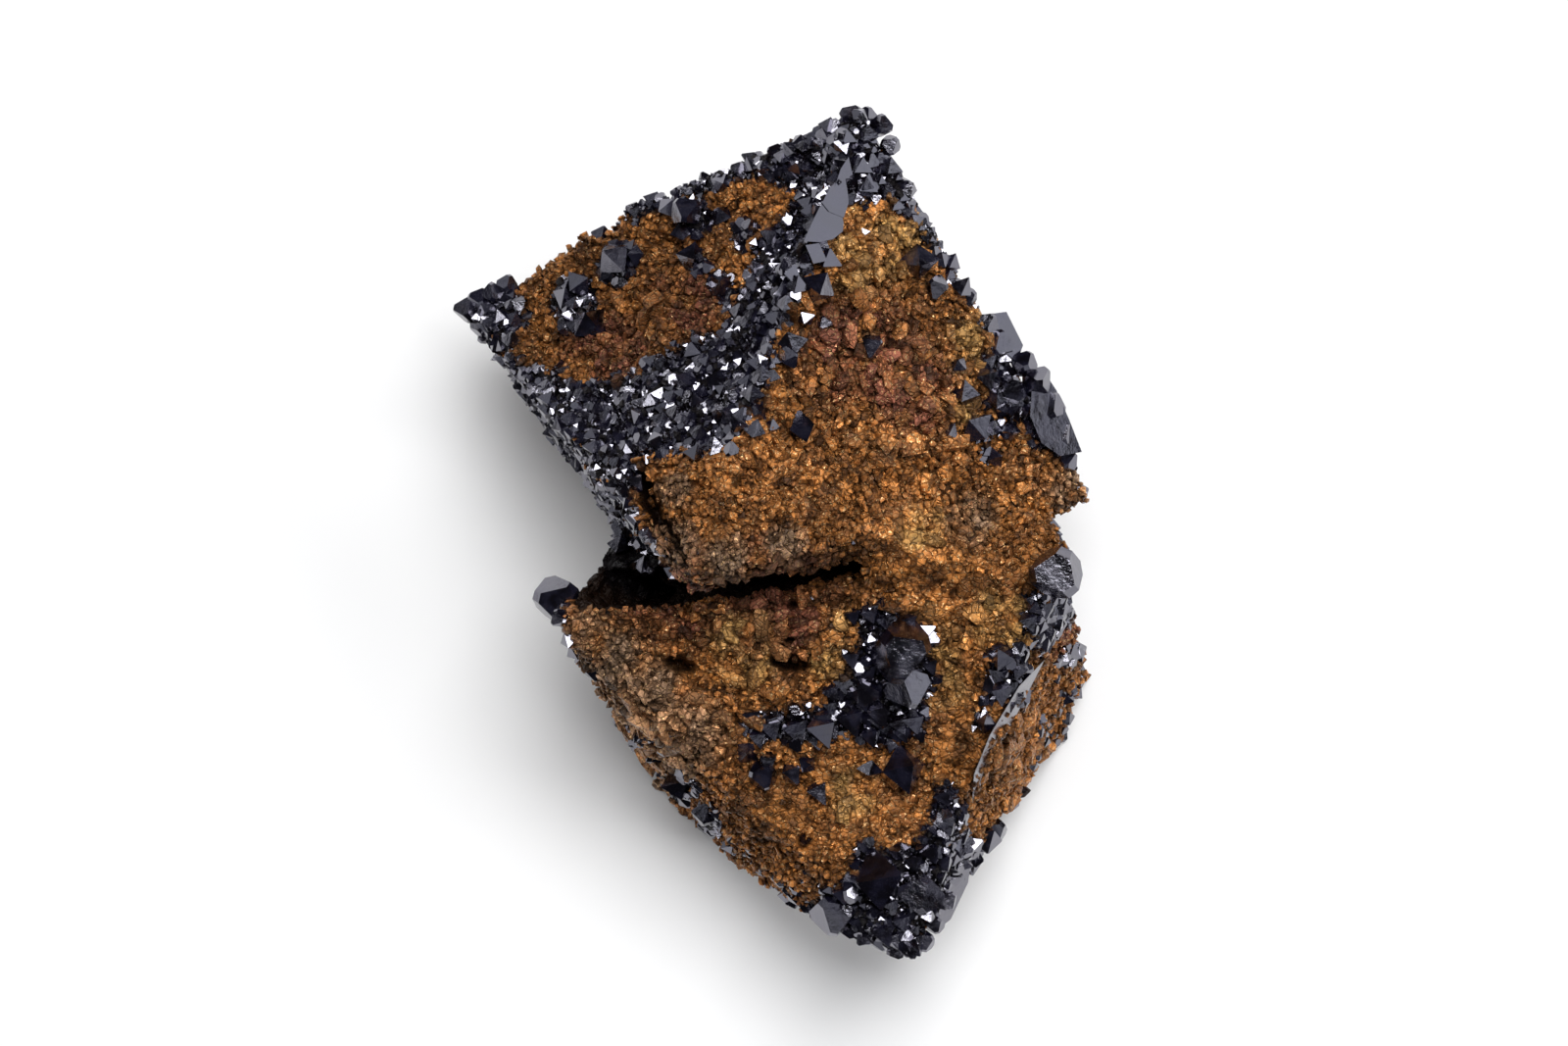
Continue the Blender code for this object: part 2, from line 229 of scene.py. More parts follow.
def copperMaterial():
    mat, tree, shader, place = newMaterial("copperGrains")
    looks = copperLooks
    broad = noiseTexture(tree, place, looks["patches"], 5, 0.65)
    fine = noiseTexture(tree, place, looks["fine"], 4, 0.65)
    specks = ramp(tree, noiseTexture(tree, place, looks["specks"], 2), 0.58, 0.64)
    colour = mixColour(tree, ramp(tree, broad, 0.36, 0.64), looks["brown"], looks["orange"])
    for key in ("maroon", "gold", "grey"):
        colour = mixColour(tree, attribute(tree, key), colour, looks[key])
    # painted shade: the lows of the fine bump noise darkened
    colour = mixColour(tree, ramp(tree, fine, 0.50, 0.28, 0.0, looks["fineShade"]), colour, looks["dark"])
    colour = mixColour(tree, specks, colour, looks["glint"])
    # cracks between fused grains: a bump, with painted shade darkening them
    bent = node(tree, "ShaderNodeVectorMath", {"operation": "MULTIPLY_ADD"})
    length, height = looks["crackWave"]
    wave = node(tree, "ShaderNodeTexNoise", Scale=1 / length, Detail=3)
    tree.links.new(place, wave.inputs["Vector"])
    tree.links.new(wave.outputs["Color"], bent.inputs[0])
    bent.inputs[1].default_value = (height, height, height)
    tree.links.new(place, bent.inputs[2])
    cells = node(tree, "ShaderNodeTexVoronoi", {"feature": "DISTANCE_TO_EDGE"}, Scale=1 / looks["crack"])
    tree.links.new(bent.outputs[0], cells.inputs["Vector"])
    border = cells.outputs["Distance"]
    cracked = ramp(tree, border, 0.0, 0.14)
    colour = mixColour(tree, ramp(tree, border, 0.0, 0.10, looks["crackShade"], 0.0), colour, looks["dark"])
    # painted shade from the shade attribute: dark between and at the foot of the grains, in cracks,
    # hollows, the slit, groove and pits and under the front block; lighter in the lit spots as painted
    # light; over a random tone
    colour = mixColour(tree, attribute(tree, "shade"), looks["dark"], colour)
    colour = mixColour(tree, attribute(tree, "crust"), colour, looks["underCrust"])
    tree.links.new(colour, shader.inputs["Base Color"])
    tree.links.new(ramp(tree, fine, 0.3, 0.66, looks["roughness"][1], looks["roughness"][0]),
                   shader.inputs["Roughness"])
    shiny = noiseTexture(tree, place, looks["shiny"], 3)
    metallic = node(tree, "ShaderNodeMath", {"operation": "MAXIMUM"})
    tree.links.new(ramp(tree, shiny, 0.42, 0.66, *looks["metallic"]), metallic.inputs[0])
    tree.links.new(specks, metallic.inputs[1])
    tree.links.new(metallic.outputs[0], shader.inputs["Metallic"])
    shader.inputs["Specular IOR Level"].default_value = looks["specular"]
    deep = node(tree, "ShaderNodeBump", Strength=0.8, Distance=looks["crackDepth"])
    tree.links.new(cracked, deep.inputs["Height"])
    bump = node(tree, "ShaderNodeBump", Strength=1.0, Distance=looks["fineDepth"])
    tree.links.new(fine, bump.inputs["Height"])
    tree.links.new(deep.outputs[0], bump.inputs["Normal"])
    tree.links.new(bump.outputs[0], shader.inputs["Normal"])
    return mat


cupriteLooks = {
    "dark": (0.0018, 0.0012, 0.0020, 1),
    "blue": (0.005, 0.0045, 0.012, 1),
    "dust": (0.018, 0.0095, 0.0115, 1),
    "roughness": (0.09, 0.21),
    "ior": 2.5,
    "shine": (0.89, 0.87, 1.0, 1),
    "patches": 1.5 * mm,
    "dustSize": 0.8 * mm,
    "growth": 0.60 * mm,      # the faint steps and bubbles on the facets
    "growthDepth": 0.050 * mm,
}


def cupriteMaterial():
    mat, tree, shader, place = newMaterial("cupriteCrystals")
    looks = cupriteLooks
    broad = noiseTexture(tree, place, looks["patches"], 3)
    fine = noiseTexture(tree, place, looks["dustSize"], 4, 0.6)
    colour = mixColour(tree, ramp(tree, broad, 0.4, 0.6), looks["dark"], looks["blue"])
    colour = mixColour(tree, ramp(tree, fine, 0.55, 0.85), colour, looks["dust"])
    tree.links.new(colour, shader.inputs["Base Color"])
    tree.links.new(ramp(tree, broad, 0.35, 0.65, *looks["roughness"]), shader.inputs["Roughness"])
    shader.inputs["IOR"].default_value = looks["ior"]
    shader.inputs["Specular Tint"].default_value = looks["shine"]
    bump = node(tree, "ShaderNodeBump", Strength=0.7, Distance=looks["growthDepth"])
    tree.links.new(noiseTexture(tree, place, looks["growth"], 5, 0.6), bump.inputs["Height"])
    tree.links.new(bump.outputs[0], shader.inputs["Normal"])
    return mat


copperMat = copperMaterial()
cupriteMat = cupriteMaterial()
print("materials made")

# where the dark crust and the copper's colours lie, as seen in the photo
crustOutlines = [
    [(452, 292), (520, 288), (536, 330), (520, 362), (466, 366)],
    [(636, 214), (700, 184), (780, 148), (850, 98), (918, 98), (918, 150), (872, 158), (842, 172),
     (820, 202), (800, 196), (772, 178), (740, 192), (700, 204), (650, 226)],
    [(796, 232), (846, 160), (876, 156), (836, 240), (796, 330), (776, 392), (750, 446), (700, 432),
     (714, 372), (742, 322), (768, 282), (772, 250)],
    [(470, 346), (520, 366), (560, 380), (600, 392), (650, 380), (700, 350), (745, 330), (792, 366),
     (764, 436), (748, 458), (702, 460), (655, 472), (648, 500), (660, 545), (692, 592), (650, 612),
     (590, 565), (530, 460), (476, 392)],
    [(835, 100), (905, 98), (930, 160), (952, 200), (966, 240), (1000, 275), (1012, 322), (976, 302),
     (940, 238), (912, 206), (872, 202), (850, 215), (832, 190)],
    [(1014, 312), (1036, 305), (1060, 372), (1095, 420), (1118, 478), (1098, 480), (1058, 456), (1034, 420),
     (1004, 410), (1006, 372), (1012, 350)],
    [(874, 624), (905, 618), (946, 640), (950, 700), (936, 745), (918, 758), (895, 762), (870, 752),
     (820, 756), (780, 750), (764, 736), (780, 722), (830, 724), (856, 700), (872, 668)],
    [(872, 862), (925, 866), (950, 840), (956, 802), (978, 800), (982, 850), (996, 862), (990, 912),
     (955, 992), (925, 996), (880, 982), (812, 936), (850, 906), (880, 896)],
    [(1050, 604), (1086, 600), (1084, 640), (1062, 656), (1042, 644)],
    [(1012, 658), (1042, 654), (1040, 712), (1010, 724), (998, 700)],
]
crustSpots = [
    (632, 268, 24), (590, 295, 20), (597, 325, 24), (580, 310, 18), (712, 222, 22), (710, 270, 14),
    (735, 295, 18), (760, 240, 16), (1000, 438, 16), (1024, 437, 10), (1010, 465, 10), (1003, 738, 12),
    (648, 757, 12), (702, 802, 14), (728, 832, 14), (556, 610, 30), (1088, 668, 10),
]
# where large crystals leave no room for small ones
clearSpots = [
    (912, 668, 36), (892, 888, 34), (850, 930, 30), (962, 900, 26), (950, 940, 22), (1074, 575, 26),
    (905, 700, 24),
]
# copper without large grains
smoothSpots = [
    (965, 600, 90), (975, 745, 75), (900, 825, 75), (800, 835, 55), (930, 555, 60), (1050, 600, 50),
    (860, 790, 50), (790, 460, 45), (740, 470, 40), (830, 500, 40), (870, 230, 35),
]
goldSpots = [
    (905, 235, 60), (870, 265, 45), (1000, 350, 40), (995, 410, 30), (760, 660, 45), (868, 640, 30),
    (950, 655, 36), (1025, 632, 40), (845, 670, 26), (870, 810, 30), (965, 700, 26), (940, 540, 30),
]
greySpots = [
    (690, 555, 30), (740, 570, 30), (800, 556, 25), (690, 500, 20), (620, 670, 45), (660, 710, 45),
    (700, 750, 45), (690, 790, 30), (990, 530, 30), (1090, 500, 25), (600, 640, 25),
]
# dim spots: painted shade on the left face and under the front block, elsewhere just darker copper
dimSpots = [
    (975, 745, 85), (1010, 545, 55), (1060, 590, 40), (590, 250, 60), (700, 240, 50), (860, 590, 40),
    (560, 330, 60), (640, 340, 60), (700, 320, 50), (780, 835, 50), (985, 760, 60),
]
# lit spots: copper made lighter there, painted light
litSpots = [(690, 725, 70), (930, 505, 60), (1010, 500, 60), (1045, 770, 50), (900, 230, 50)]
maroonSpots = [
    (875, 350, 70), (925, 400, 50), (790, 615, 75), (690, 605, 60), (560, 650, 40), (1095, 640, 40),
    (620, 350, 50), (700, 310, 40), (690, 560, 30),
]


# how each colour follows the zones and a noise: what is added to the noise, and how strong it is
copperColours = {
    "gold": (goldSpots, -0.15, 1.5),
    "maroon": (maroonSpots, 0.0, 1.6),
    "grey": (greySpots, 0.3, 1.0),
}
# pairs are the two ends of a soft border, in pixels where nothing else is said
zones = {
    "lit": 0.22,             # how much lighter the lit spots are, painted light, and how much darker the dim spots, painted shade in part
    "dim": 0.35,
    "underShade": 0.68,        # painted shade: how much darker the underside of the front block is
    "underShadeWay": (0.304, -0.930, 0.207),
    "underShadeSoft": (0.55, 0.85),    # cosine
    "underShadeAbove": 14 * mm,
    "colourNoise": (1.4 * mm, 0.9),
    "wander": (1.6 * mm, 9),  # how the crust's border wanders: in steps of, and by how many pixels
    "crustSoft": (-5, 4),
    "spotSoft": (0.2, 0.6),   # share
    "unseen": (-0.5, -0.38),  # cosine: faces turned farther from the eye than this get patches
    "patches": (7 * mm, 2 * mm, 0.3),    # their size, that of their details and how much these count
    "patchSoft": (0.12, 0.22),    # noise
    "patchClear": (-16, -4),
    "gapDeep": (0.5 * mm, 1.1 * mm),    # depth
    "gapSoft": (-6, 2),
    "pitMouth": (0.7, 1.2),   # share of the pit's radius
}


def dimmed(points, normals):
    # 1 on plain copper; more in the lit spots, painted light; less in the dim spots, painted shade on the
    # left face and under the front block and just darker elsewhere; and less on the front block's
    # underside, painted shade
    under = smoothStep(normals @ np.array(zones["underShadeWay"]), *zones["underShadeSoft"])
    under *= points[:, 2] > zones["underShadeAbove"]
    pixels = pixelsOf(points)
    lit = 1 + zones["lit"] * blobs(pixels, litSpots)
    return lit * (1 - zones["dim"] * blobs(pixels, dimSpots)) * (1 - zones["underShade"] * under)


def crustShare(points, normals):
    # 1 where the dark crust lies, 0 on bare copper; the unseen sides get patches of it
    pixels = pixelsOf(points)
    size, far = zones["wander"]
    pixels = pixels + far * np.stack([noiseAt(points, size, 3.0), noiseAt(points, size, 11.0)], 1)
    depth = np.full(len(points), -1e9)
    for outline in crustOutlines:
        depth = np.maximum(depth, depthInside(pixels, outline))
    share = smoothStep(depth, *zones["crustSoft"])
    share = np.maximum(share, smoothStep(blobs(pixels, crustSpots), *zones["spotSoft"]))
    toEye = np.array(eye) - points
    toEye /= np.linalg.norm(toEye, axis=1, keepdims=True)
    seen = smoothStep((normals * toEye).sum(1), *zones["unseen"])
    size, detail, weight = zones["patches"]
    patches = noiseAt(points, size, 5.0) + weight * noiseAt(points, detail, 5.0)
    patches = smoothStep(patches, *zones["patchSoft"])
    patches *= 1 - smoothStep(depthInside(pixels, body["gapOutline"]), *zones["patchClear"])
    return seen * share + (1 - seen) * patches


def inPit(pixels, rim):
    # 1 in the mouth of a deep pit, which no grain covers, and as many pixels round it as rim says
    share = np.zeros(len(pixels))
    low, high = zones["pitMouth"]
    for x, y, radius, deep in body["pits"]:
        far = np.hypot(pixels[:, 0] - x, pixels[:, 1] - y) - rim
        open_ = 1 - smoothStep(far, radius * low, radius * high)
        share = np.maximum(share, (deep > body["openPit"]) * open_)
    return share


def inGap(points, pixels):
    # 1 down in the slit and the hollow, which stay bare of grains and get painted shade
    below = (points - np.array(body["lower"]["left"]) * mm) @ lowerFace
    within = smoothStep(depthInside(pixels, body["gapOutline"]), *zones["gapSoft"])
    return smoothStep(-below, *zones["gapDeep"]) * within


def copperValues(points, normals):
    pixels = pixelsOf(points)
    size, weight = zones["colourNoise"]
    rough = 0.5 + weight * noiseAt(points, size, 2.0)
    values = {"crust": crustShare(points, normals)}
    for key, (spots, more, strength) in copperColours.items():
        values[key] = np.clip(blobs(pixels, spots) * (rough + more) * strength, 0, 1)
    return values


# the copper: two octahedra grown into each other
body = {
    "upper": {
        "top": (4.6, 24.4, 25.0),
        "left": (-19.9, 13.4, 11.7),
        "front": (-5.5, -3.3, 30.7),
        "right": (19.1, 1.3, 15.3),
        "bottom": (-4.6, -9.4, 2.0),
        "back": (4.7, 17.9, -3.7),
    },
    "lower": {
        "left": (-14.0, -5.8, 19.5),
        "right": (16.7, -1.9, 22.5),
        "bottom": (7.6, -26.7, 16.0),
        "backRight": (20.3, -10.8, -3.0),
        "backLeft": (-6.8, -19.4, -4.0),
        "backTop": (-4.0, 9.0, 0.5),
    },
    "neck": [
        (3.4, 0.2, 23.6), (16.5, 1.4, 16.6), (17.2, -1.6, 20.6), (16.0, -4.8, 21.6), (5.6, -5.2, 20.6),
        (3.6, -2.8, 21.2), (4.0, 0.0, 8.0), (15.0, 0.0, 8.0), (14.0, -8.0, 8.0), (5.0, -8.0, 8.0),
    ],
    "swell": {    # where an edge stands out a little from the straight line between its corners
        "upper": [(-8.1, 19.8, 18.4)],
        "lower": [(0.7, -24.0, 11.0)],
    },
    "gap": [    # where the two part on the left: a thin slit, and the hollow it opens into
        [(-7.2, -3.7, 27.3), (-7.2, -6.4, 27.3), (5.0, -2.3, 22.5), (5.0, -3.6, 23.0),
         (-7.2, -2.6, 12.0), (-7.2, -3.2, 12.0), (5.0, -1.4, 13.0), (5.0, -2.2, 13.0)],
        [(-12.7, -3.4, 24.0), (-11.0, -2.3, 24.0), (-6.6, -2.8, 24.0), (-6.5, -5.4, 24.0),
         (-9.5, -5.5, 24.0), (-12.2, -5.1, 24.0), (-11.8, -3.8, 17.0), (-10.4, -2.8, 14.5),
         (-7.2, -3.2, 9.5), (-7.2, -4.6, 9.5), (-11.2, -4.6, 16.0)],
    ],
    "gapOutline": [(572, 560), (640, 552), (700, 575), (712, 597), (800, 588), (885, 566),
                   (892, 584), (800, 606), (720, 622), (694, 632), (640, 634), (588, 624)],
    "voxel": 0.27 * mm,
    "inset": 0.38 * mm,       # room for the grains
    "lumps": [(3.0, 0.40), (1.3, 0.24), (0.6, 0.14)],    # length and height, mm
    "cells": (1.15, 0.34),    # size and height of the fused grains, mm
    "cellShake": (1.0 * mm, 0.3 * mm),    # how their borders wander: in steps of, and how far
    "cellRim": 0.34,
    "cellsLost": 0.7,         # how far they are lost on the smooth copper
    "leftFace": {
        "drop": 1.1 * mm,     # how much lower it lies than the block
        "rugged": 1.3,        # how much rougher it is
        "square": (0.9, 0.97),    # cosine to its own direction
        "rim": (2, 34),       # pixels in from its edges
        "block": (-7, 3),     # pixels in from the block's outline
        "above": 14 * mm,
    },
    "frontBlock": [(752, 452), (690, 458), (648, 470), (668, 522),
                   (700, 566), (715, 600), (760, 640), (800, 440)],
    "groove": {
        "line": [(653, 484), (668, 528), (692, 572), (700, 600)],
        "depth": 2.6 * mm,
        "width": (4, 17),     # pixels
        # painted shade along the groove, in pixels from its line
        "dark": (4, 16),
        "above": 20 * mm,
    },
    "faceUp": (0.1, 0.5),     # only faces turned to the eye have the groove and pits
    "pitsAbove": 12 * mm,
    "pitWall": (0.5, 1.3),    # share of the pit's radius
    "openPit": 1.0,           # a pit deeper than this is clear of grains
    "tone": {    # how light the copper between the grains is: painted shade, darkest between the grains and in cracks, hollows and pits
        "least": 0.34,
        "smooth": 0.46,
        "cells": 0.16,
        "broad": (4.5 * mm, 0.5),
        # painted shade in random hollows
        "hollows": 0.75,
        "hollowSize": 0.8 * mm,
        "hollowSoft": (0.12, 0.34),
        # painted shade in the mouth of a deep pit
        "pits": 0.85,
    },
    "pits": [    # x, y, radius in pixels, depth in mm
        (712, 497, 9, 0.9), (684, 677, 6, 1.5), (694, 680, 8, 1.9), (703, 682, 6, 1.6), (792, 675, 6, 1.6),
        (802, 678, 8, 2.0), (812, 680, 7, 1.8), (820, 681, 5, 1.4), (808, 618, 5, 1.2), (805, 652, 5, 1.2),
        (820, 860, 6, 1.3), (858, 300, 8, 0.8), (845, 285, 7, 0.7), (880, 322, 8, 0.7), (900, 290, 7, 0.7),
        (770, 480, 6, 0.5), (640, 300, 12, 0.8), (560, 345, 10, 0.7), (680, 360, 12, 0.8),
        (620, 230, 8, 0.6), (833, 815, 7, 0.5),
    ],
}


def faceNormal(a, b, c):
    a, b, c = Vector(a), Vector(b), Vector(c)
    return (b - a).cross(c - a).normalized()


def axesOf(corners, pairs):
    return np.array([(Vector(corners[a]) - Vector(corners[b])).normalized() for a, b in pairs]).T


upperAxes = axesOf(body["upper"], [("top", "bottom"), ("left", "right"), ("front", "back")])
lowerAxes = axesOf(body["lower"], [("left", "backRight"), ("right", "backLeft"), ("bottom", "backTop")])
leftFace = np.array(faceNormal(*(body["upper"][k] for k in ("top", "left", "front"))))
rightFace = np.array(faceNormal(*(body["upper"][k] for k in ("top", "front", "right"))))
lowerFace = np.array(faceNormal(*(body["lower"][k] for k in ("left", "bottom", "right"))))


def hulls(name, groups):
    bm = bmesh.new()
    for corners in groups:
        bmesh.ops.convex_hull(bm, input=[bm.verts.new(Vector(corner) * mm) for corner in corners])
    return objectFrom(bm, name)


def fuse(obj):
    remesh = obj.modifiers.new("fuse", "REMESH")
    remesh.mode = "VOXEL"
    remesh.voxel_size = body["voxel"]


def copperCore():
    solids = [list(body[side].values()) + body["swell"][side] for side in ("upper", "lower")]
    core = hulls("core", solids + [body["neck"]])
    gap = hulls("gap", body["gap"])
    fuse(core)
    cut = core.modifiers.new("gap", "BOOLEAN")
    cut.object = gap
    cut.operation = "DIFFERENCE"
    cut.use_self = True
    fuse(core)
    bpy.context.view_layer.update()
    fused = bpy.data.meshes.new_from_object(core.evaluated_get(bpy.context.evaluated_depsgraph_get()))
    bpy.data.objects.remove(core)
    bpy.data.objects.remove(gap)
    return fused


def readMesh(mesh):
    co = np.zeros(len(mesh.vertices) * 3)
    mesh.vertices.foreach_get("co", co)
    normals = np.zeros(len(mesh.vertices) * 3, np.float32)
    mesh.vertex_normals.foreach_get("vector", normals)
    return co.reshape(-1, 3), normals.reshape(-1, 3).astype(float)


def writeMesh(mesh, co):
    mesh.vertices.foreach_set("co", co.ravel())
    mesh.update()


def shapeCopper(mesh):
    co, normals = readMesh(mesh)
    pixels = pixelsOf(co)
    # the left face lies lower than the block at the front corner, and keeps its rim
    face = body["leftFace"]
    corners = [np.array(body["upper"][k]) * mm for k in ("top", "left", "front")]
    rim = depthInside(pixels, pixelsOf(np.array(corners)))
    onFace = smoothStep(normals @ leftFace, *face["square"]) * smoothStep(rim, *face["rim"])
    onFace *= co[:, 2] > face["above"]
    block = smoothStep(depthInside(pixels, body["frontBlock"]), *face["block"])
    co = co - leftFace * (onFace * (1 - block))[:, None] * face["drop"]
    # the deep groove beside that block, and the open pits
    groove = body["groove"]
    up = smoothStep(normals[:, 2], *body["faceUp"]) * (co[:, 2] > body["pitsAbove"])
    depth = groove["depth"] * (1 - smoothStep(nearLine(pixels, groove["line"]), *groove["width"])) * up
    depth *= co[:, 2] > groove["above"]
    low, high = body["pitWall"]
    for x, y, radius, deep in body["pits"]:
        far = np.hypot(pixels[:, 0] - x, pixels[:, 1] - y)
        depth = np.maximum(depth, deep * mm * (1 - smoothStep(far, radius * low, radius * high)) * up)
    co[:, 2] -= depth
    # lumps, and room for the grains
    height = -body["inset"] * np.ones(len(co))
    rugged = 1 + face["rugged"] * onFace
    for length, tall in body["lumps"]:
        height += tall * mm * noiseAt(co, length * mm, 1.0) * rugged
    step, far = body["cellShake"]
    shaken = co + far * noiseAt(co, step)[:, None]
    size, tall = body["cells"]
    cells = smoothStep(cellsAt(shaken, size * mm), 0.0, body["cellRim"])
    height += tall * mm * (cells - 0.5) * (1 - body["cellsLost"] * blobs(pixelsOf(co), smoothSpots))
    co += normals * height[:, None]
    return co, cells


def cutFlat(mesh):
    bm = bmesh.new()
    bm.from_mesh(mesh)
    everything = bm.verts[:] + bm.edges[:] + bm.faces[:]
    cut = bmesh.ops.bisect_plane(bm, geom=everything, plane_co=(0, 0, 0), plane_no=(0, 0, -1),
                                 clear_outer=True)
    edges = [e for e in cut["geom_cut"] if isinstance(e, bmesh.types.BMEdge)]
    bmesh.ops.holes_fill(bm, edges=edges)
    bmesh.ops.recalc_face_normals(bm, faces=bm.faces)
    bm.to_mesh(mesh)
    bm.free()


def copperShade(co, normals, cells):
    # painted shade: darker between the grains, on cell borders, in random hollows, in the slit, hollow,
    # groove and pits and under the front block; lighter on smooth copper and in the lit spots; times a
    # broad random tone
    tone, groove, pixels = body["tone"], body["groove"], pixelsOf(co)
    open_ = (1 - inGap(co, pixels)) * smoothStep(nearLine(pixels, groove["line"]), *groove["dark"])
    smooth = blobs(pixels, smoothSpots)
    hollows = smoothStep(noiseAt(co, tone["hollowSize"], 6.0), *tone["hollowSoft"])
    size, weight = tone["broad"]
    broad = 1 + weight * noiseAt(co, size, 8.0)
    shade = (tone["least"] + tone["smooth"] * smooth + tone["cells"] * cells) * broad * open_
    shade = shade * (1 - tone["hollows"] * hollows) * dimmed(co, normals)
    return shade * (1 - tone["pits"] * inPit(pixels, 0))


def makeCopper():
    mesh = copperCore()
    co, cells = shapeCopper(mesh)
    writeMesh(mesh, co)
    # the cut changes the vertices, so the cells ride along as an attribute
    setValues(mesh, {"cells": cells})
    cutFlat(mesh)
    co, normals = readMesh(mesh)
    cells = np.zeros(len(co), np.float32)
    mesh.attributes["cells"].data.foreach_get("value", cells)
    mesh.attributes.remove(mesh.attributes["cells"])
    shade = copperShade(co, normals, cells)
    setValues(mesh, {**copperValues(co, normals), "shade": shade})
    mesh.materials.clear()
    mesh.name = "copper"
    finishPiece(linked(mesh, copperMat))
    return mesh


copperMesh = makeCopper()


# what the grains and crystals are set on
def surfaceOf(mesh):
    mesh.calc_loop_triangles()
    index = np.zeros(len(mesh.loop_triangles) * 3, np.int32)
    mesh.loop_triangles.foreach_get("vertices", index)
    co, _ = readMesh(mesh)
    corners = co[index.reshape(-1, 3)]
    cross = np.cross(corners[:, 1] - corners[:, 0], corners[:, 2] - corners[:, 0])
    area = np.linalg.norm(cross, axis=1) / 2
    return {"corners": corners, "area": area, "normals": cross / (2 * area[:, None] + 1e-20)}


surface = surfaceOf(copperMesh)
tree = BVHTree.FromPolygons([tuple(v) for v in surface["corners"].reshape(-1, 3)],
                            np.arange(len(surface["corners"]) * 3).reshape(-1, 3).tolist())

placing = {
    "tries": 4.0,             # random points for each square of the spacing
    "lowest": 0.25 * mm,      # nothing is set nearer to the break than this
    "start": 0.3 * mm,        # nor where copper across a crevice lies between these two
    "clear": 1.6 * mm,
}


def spread(spacing, seed, wanted):
    # points over the surface, no two nearer than the spacing, where wanted gives a chance from 0 to 1
    rng = np.random.default_rng(seed)
    count = int(surface["area"].sum() / spacing ** 2 * placing["tries"])
    which = rng.choice(len(surface["area"]), count, p=surface["area"] / surface["area"].sum())
    u, v = rng.random(count), rng.random(count)
    flip = u + v > 1
    u[flip], v[flip] = 1 - u[flip], 1 - v[flip]
    c = surface["corners"][which]
    points = c[:, 0] + u[:, None] * (c[:, 1] - c[:, 0]) + v[:, None] * (c[:, 2] - c[:, 0])
    normals = surface["normals"][which]
    keep = (rng.random(count) < wanted(points, normals)) & (points[:, 2] > placing["lowest"])
    points, normals = points[keep], normals[keep]
    cells, kept = {}, []
    keys = np.floor(points / spacing).astype(int)
    for i, (x, y, z) in enumerate(keys.tolist()):
        near = [j for dx in (-1, 0, 1) for dy in (-1, 0, 1) for dz in (-1, 0, 1)
                for j in cells.get((x + dx, y + dy, z + dz), ())]
        if all(((points[i] - points[j]) ** 2).sum() > spacing ** 2 for j in near):
            cells.setdefault((x, y, z), []).append(i)
            kept.append(i)
    open_ = [i for i in kept if clearAbove(points[i], normals[i])]
    return points[open_], normals[open_], rng


def clearAbove(point, normal):
    way = Vector(normal)
    return tree.ray_cast(Vector(point) + way * placing["start"], way, placing["clear"])[0] is None


def facing(points, normals):
    toEye = np.array(eye) - points
    return (normals * toEye).sum(1) / np.linalg.norm(toEye, axis=1)


def anyTurns(rng, count):
    q = rng.normal(size=(count, 4))
    q /= np.linalg.norm(q, axis=1, keepdims=True)
    w, x, y, z = q.T
    return np.stack([
        np.stack([1 - 2 * (y * y + z * z), 2 * (x * y - z * w), 2 * (x * z + y * w)], 1),
        np.stack([2 * (x * y + z * w), 1 - 2 * (x * x + z * z), 2 * (y * z - x * w)], 1),
        np.stack([2 * (x * z - y * w), 2 * (y * z + x * w), 1 - 2 * (x * x + y * y)], 1),
    ], 1)


def smallTurns(rng, count, degrees):
    axis = rng.normal(size=(count, 3))
    axis /= np.linalg.norm(axis, axis=1, keepdims=True)
    angle = np.radians(rng.uniform(0, degrees, count))
    k = np.zeros((count, 3, 3))
    k[:, 0, 1], k[:, 0, 2], k[:, 1, 2] = -axis[:, 2], axis[:, 1], -axis[:, 0]
    k -= k.transpose(0, 2, 1)
    return np.eye(3) + np.sin(angle)[:, None, None] * k + (1 - np.cos(angle))[:, None, None] * (k @ k)


def onSurface(rng, normals, degrees):
    # turns whose third axis stands along the normal, but for a tilt
    side = np.cross(normals, rng.normal(size=normals.shape))
    side /= np.linalg.norm(side, axis=1, keepdims=True)
    frames = np.stack([side, np.cross(normals, side), normals], 2)
    return smallTurns(rng, len(normals), degrees) @ frames


def hullTemplate(points):
    bm = bmesh.new()
    verts = [bm.verts.new(p) for p in points]
    made = bmesh.ops.convex_hull(bm, input=verts)
    loose = {g for g in made["geom_interior"] + made["geom_unused"] if isinstance(g, bmesh.types.BMVert)}
    bmesh.ops.delete(bm, geom=list(loose), context="VERTS")
    bmesh.ops.triangulate(bm, faces=bm.faces)
    bmesh.ops.recalc_face_normals(bm, faces=bm.faces)
    bm.verts.index_update()
    shape = np.array([v.co for v in bm.verts]), np.array([[v.index for v in f.verts] for f in bm.faces])
    bm.free()
    return shape


# painted shade: how dark the foot of a grain is, and over which heights it fades out, as shares of its size
footShade = {"shade": 0.20, "heights": (-0.14, 0.18)}


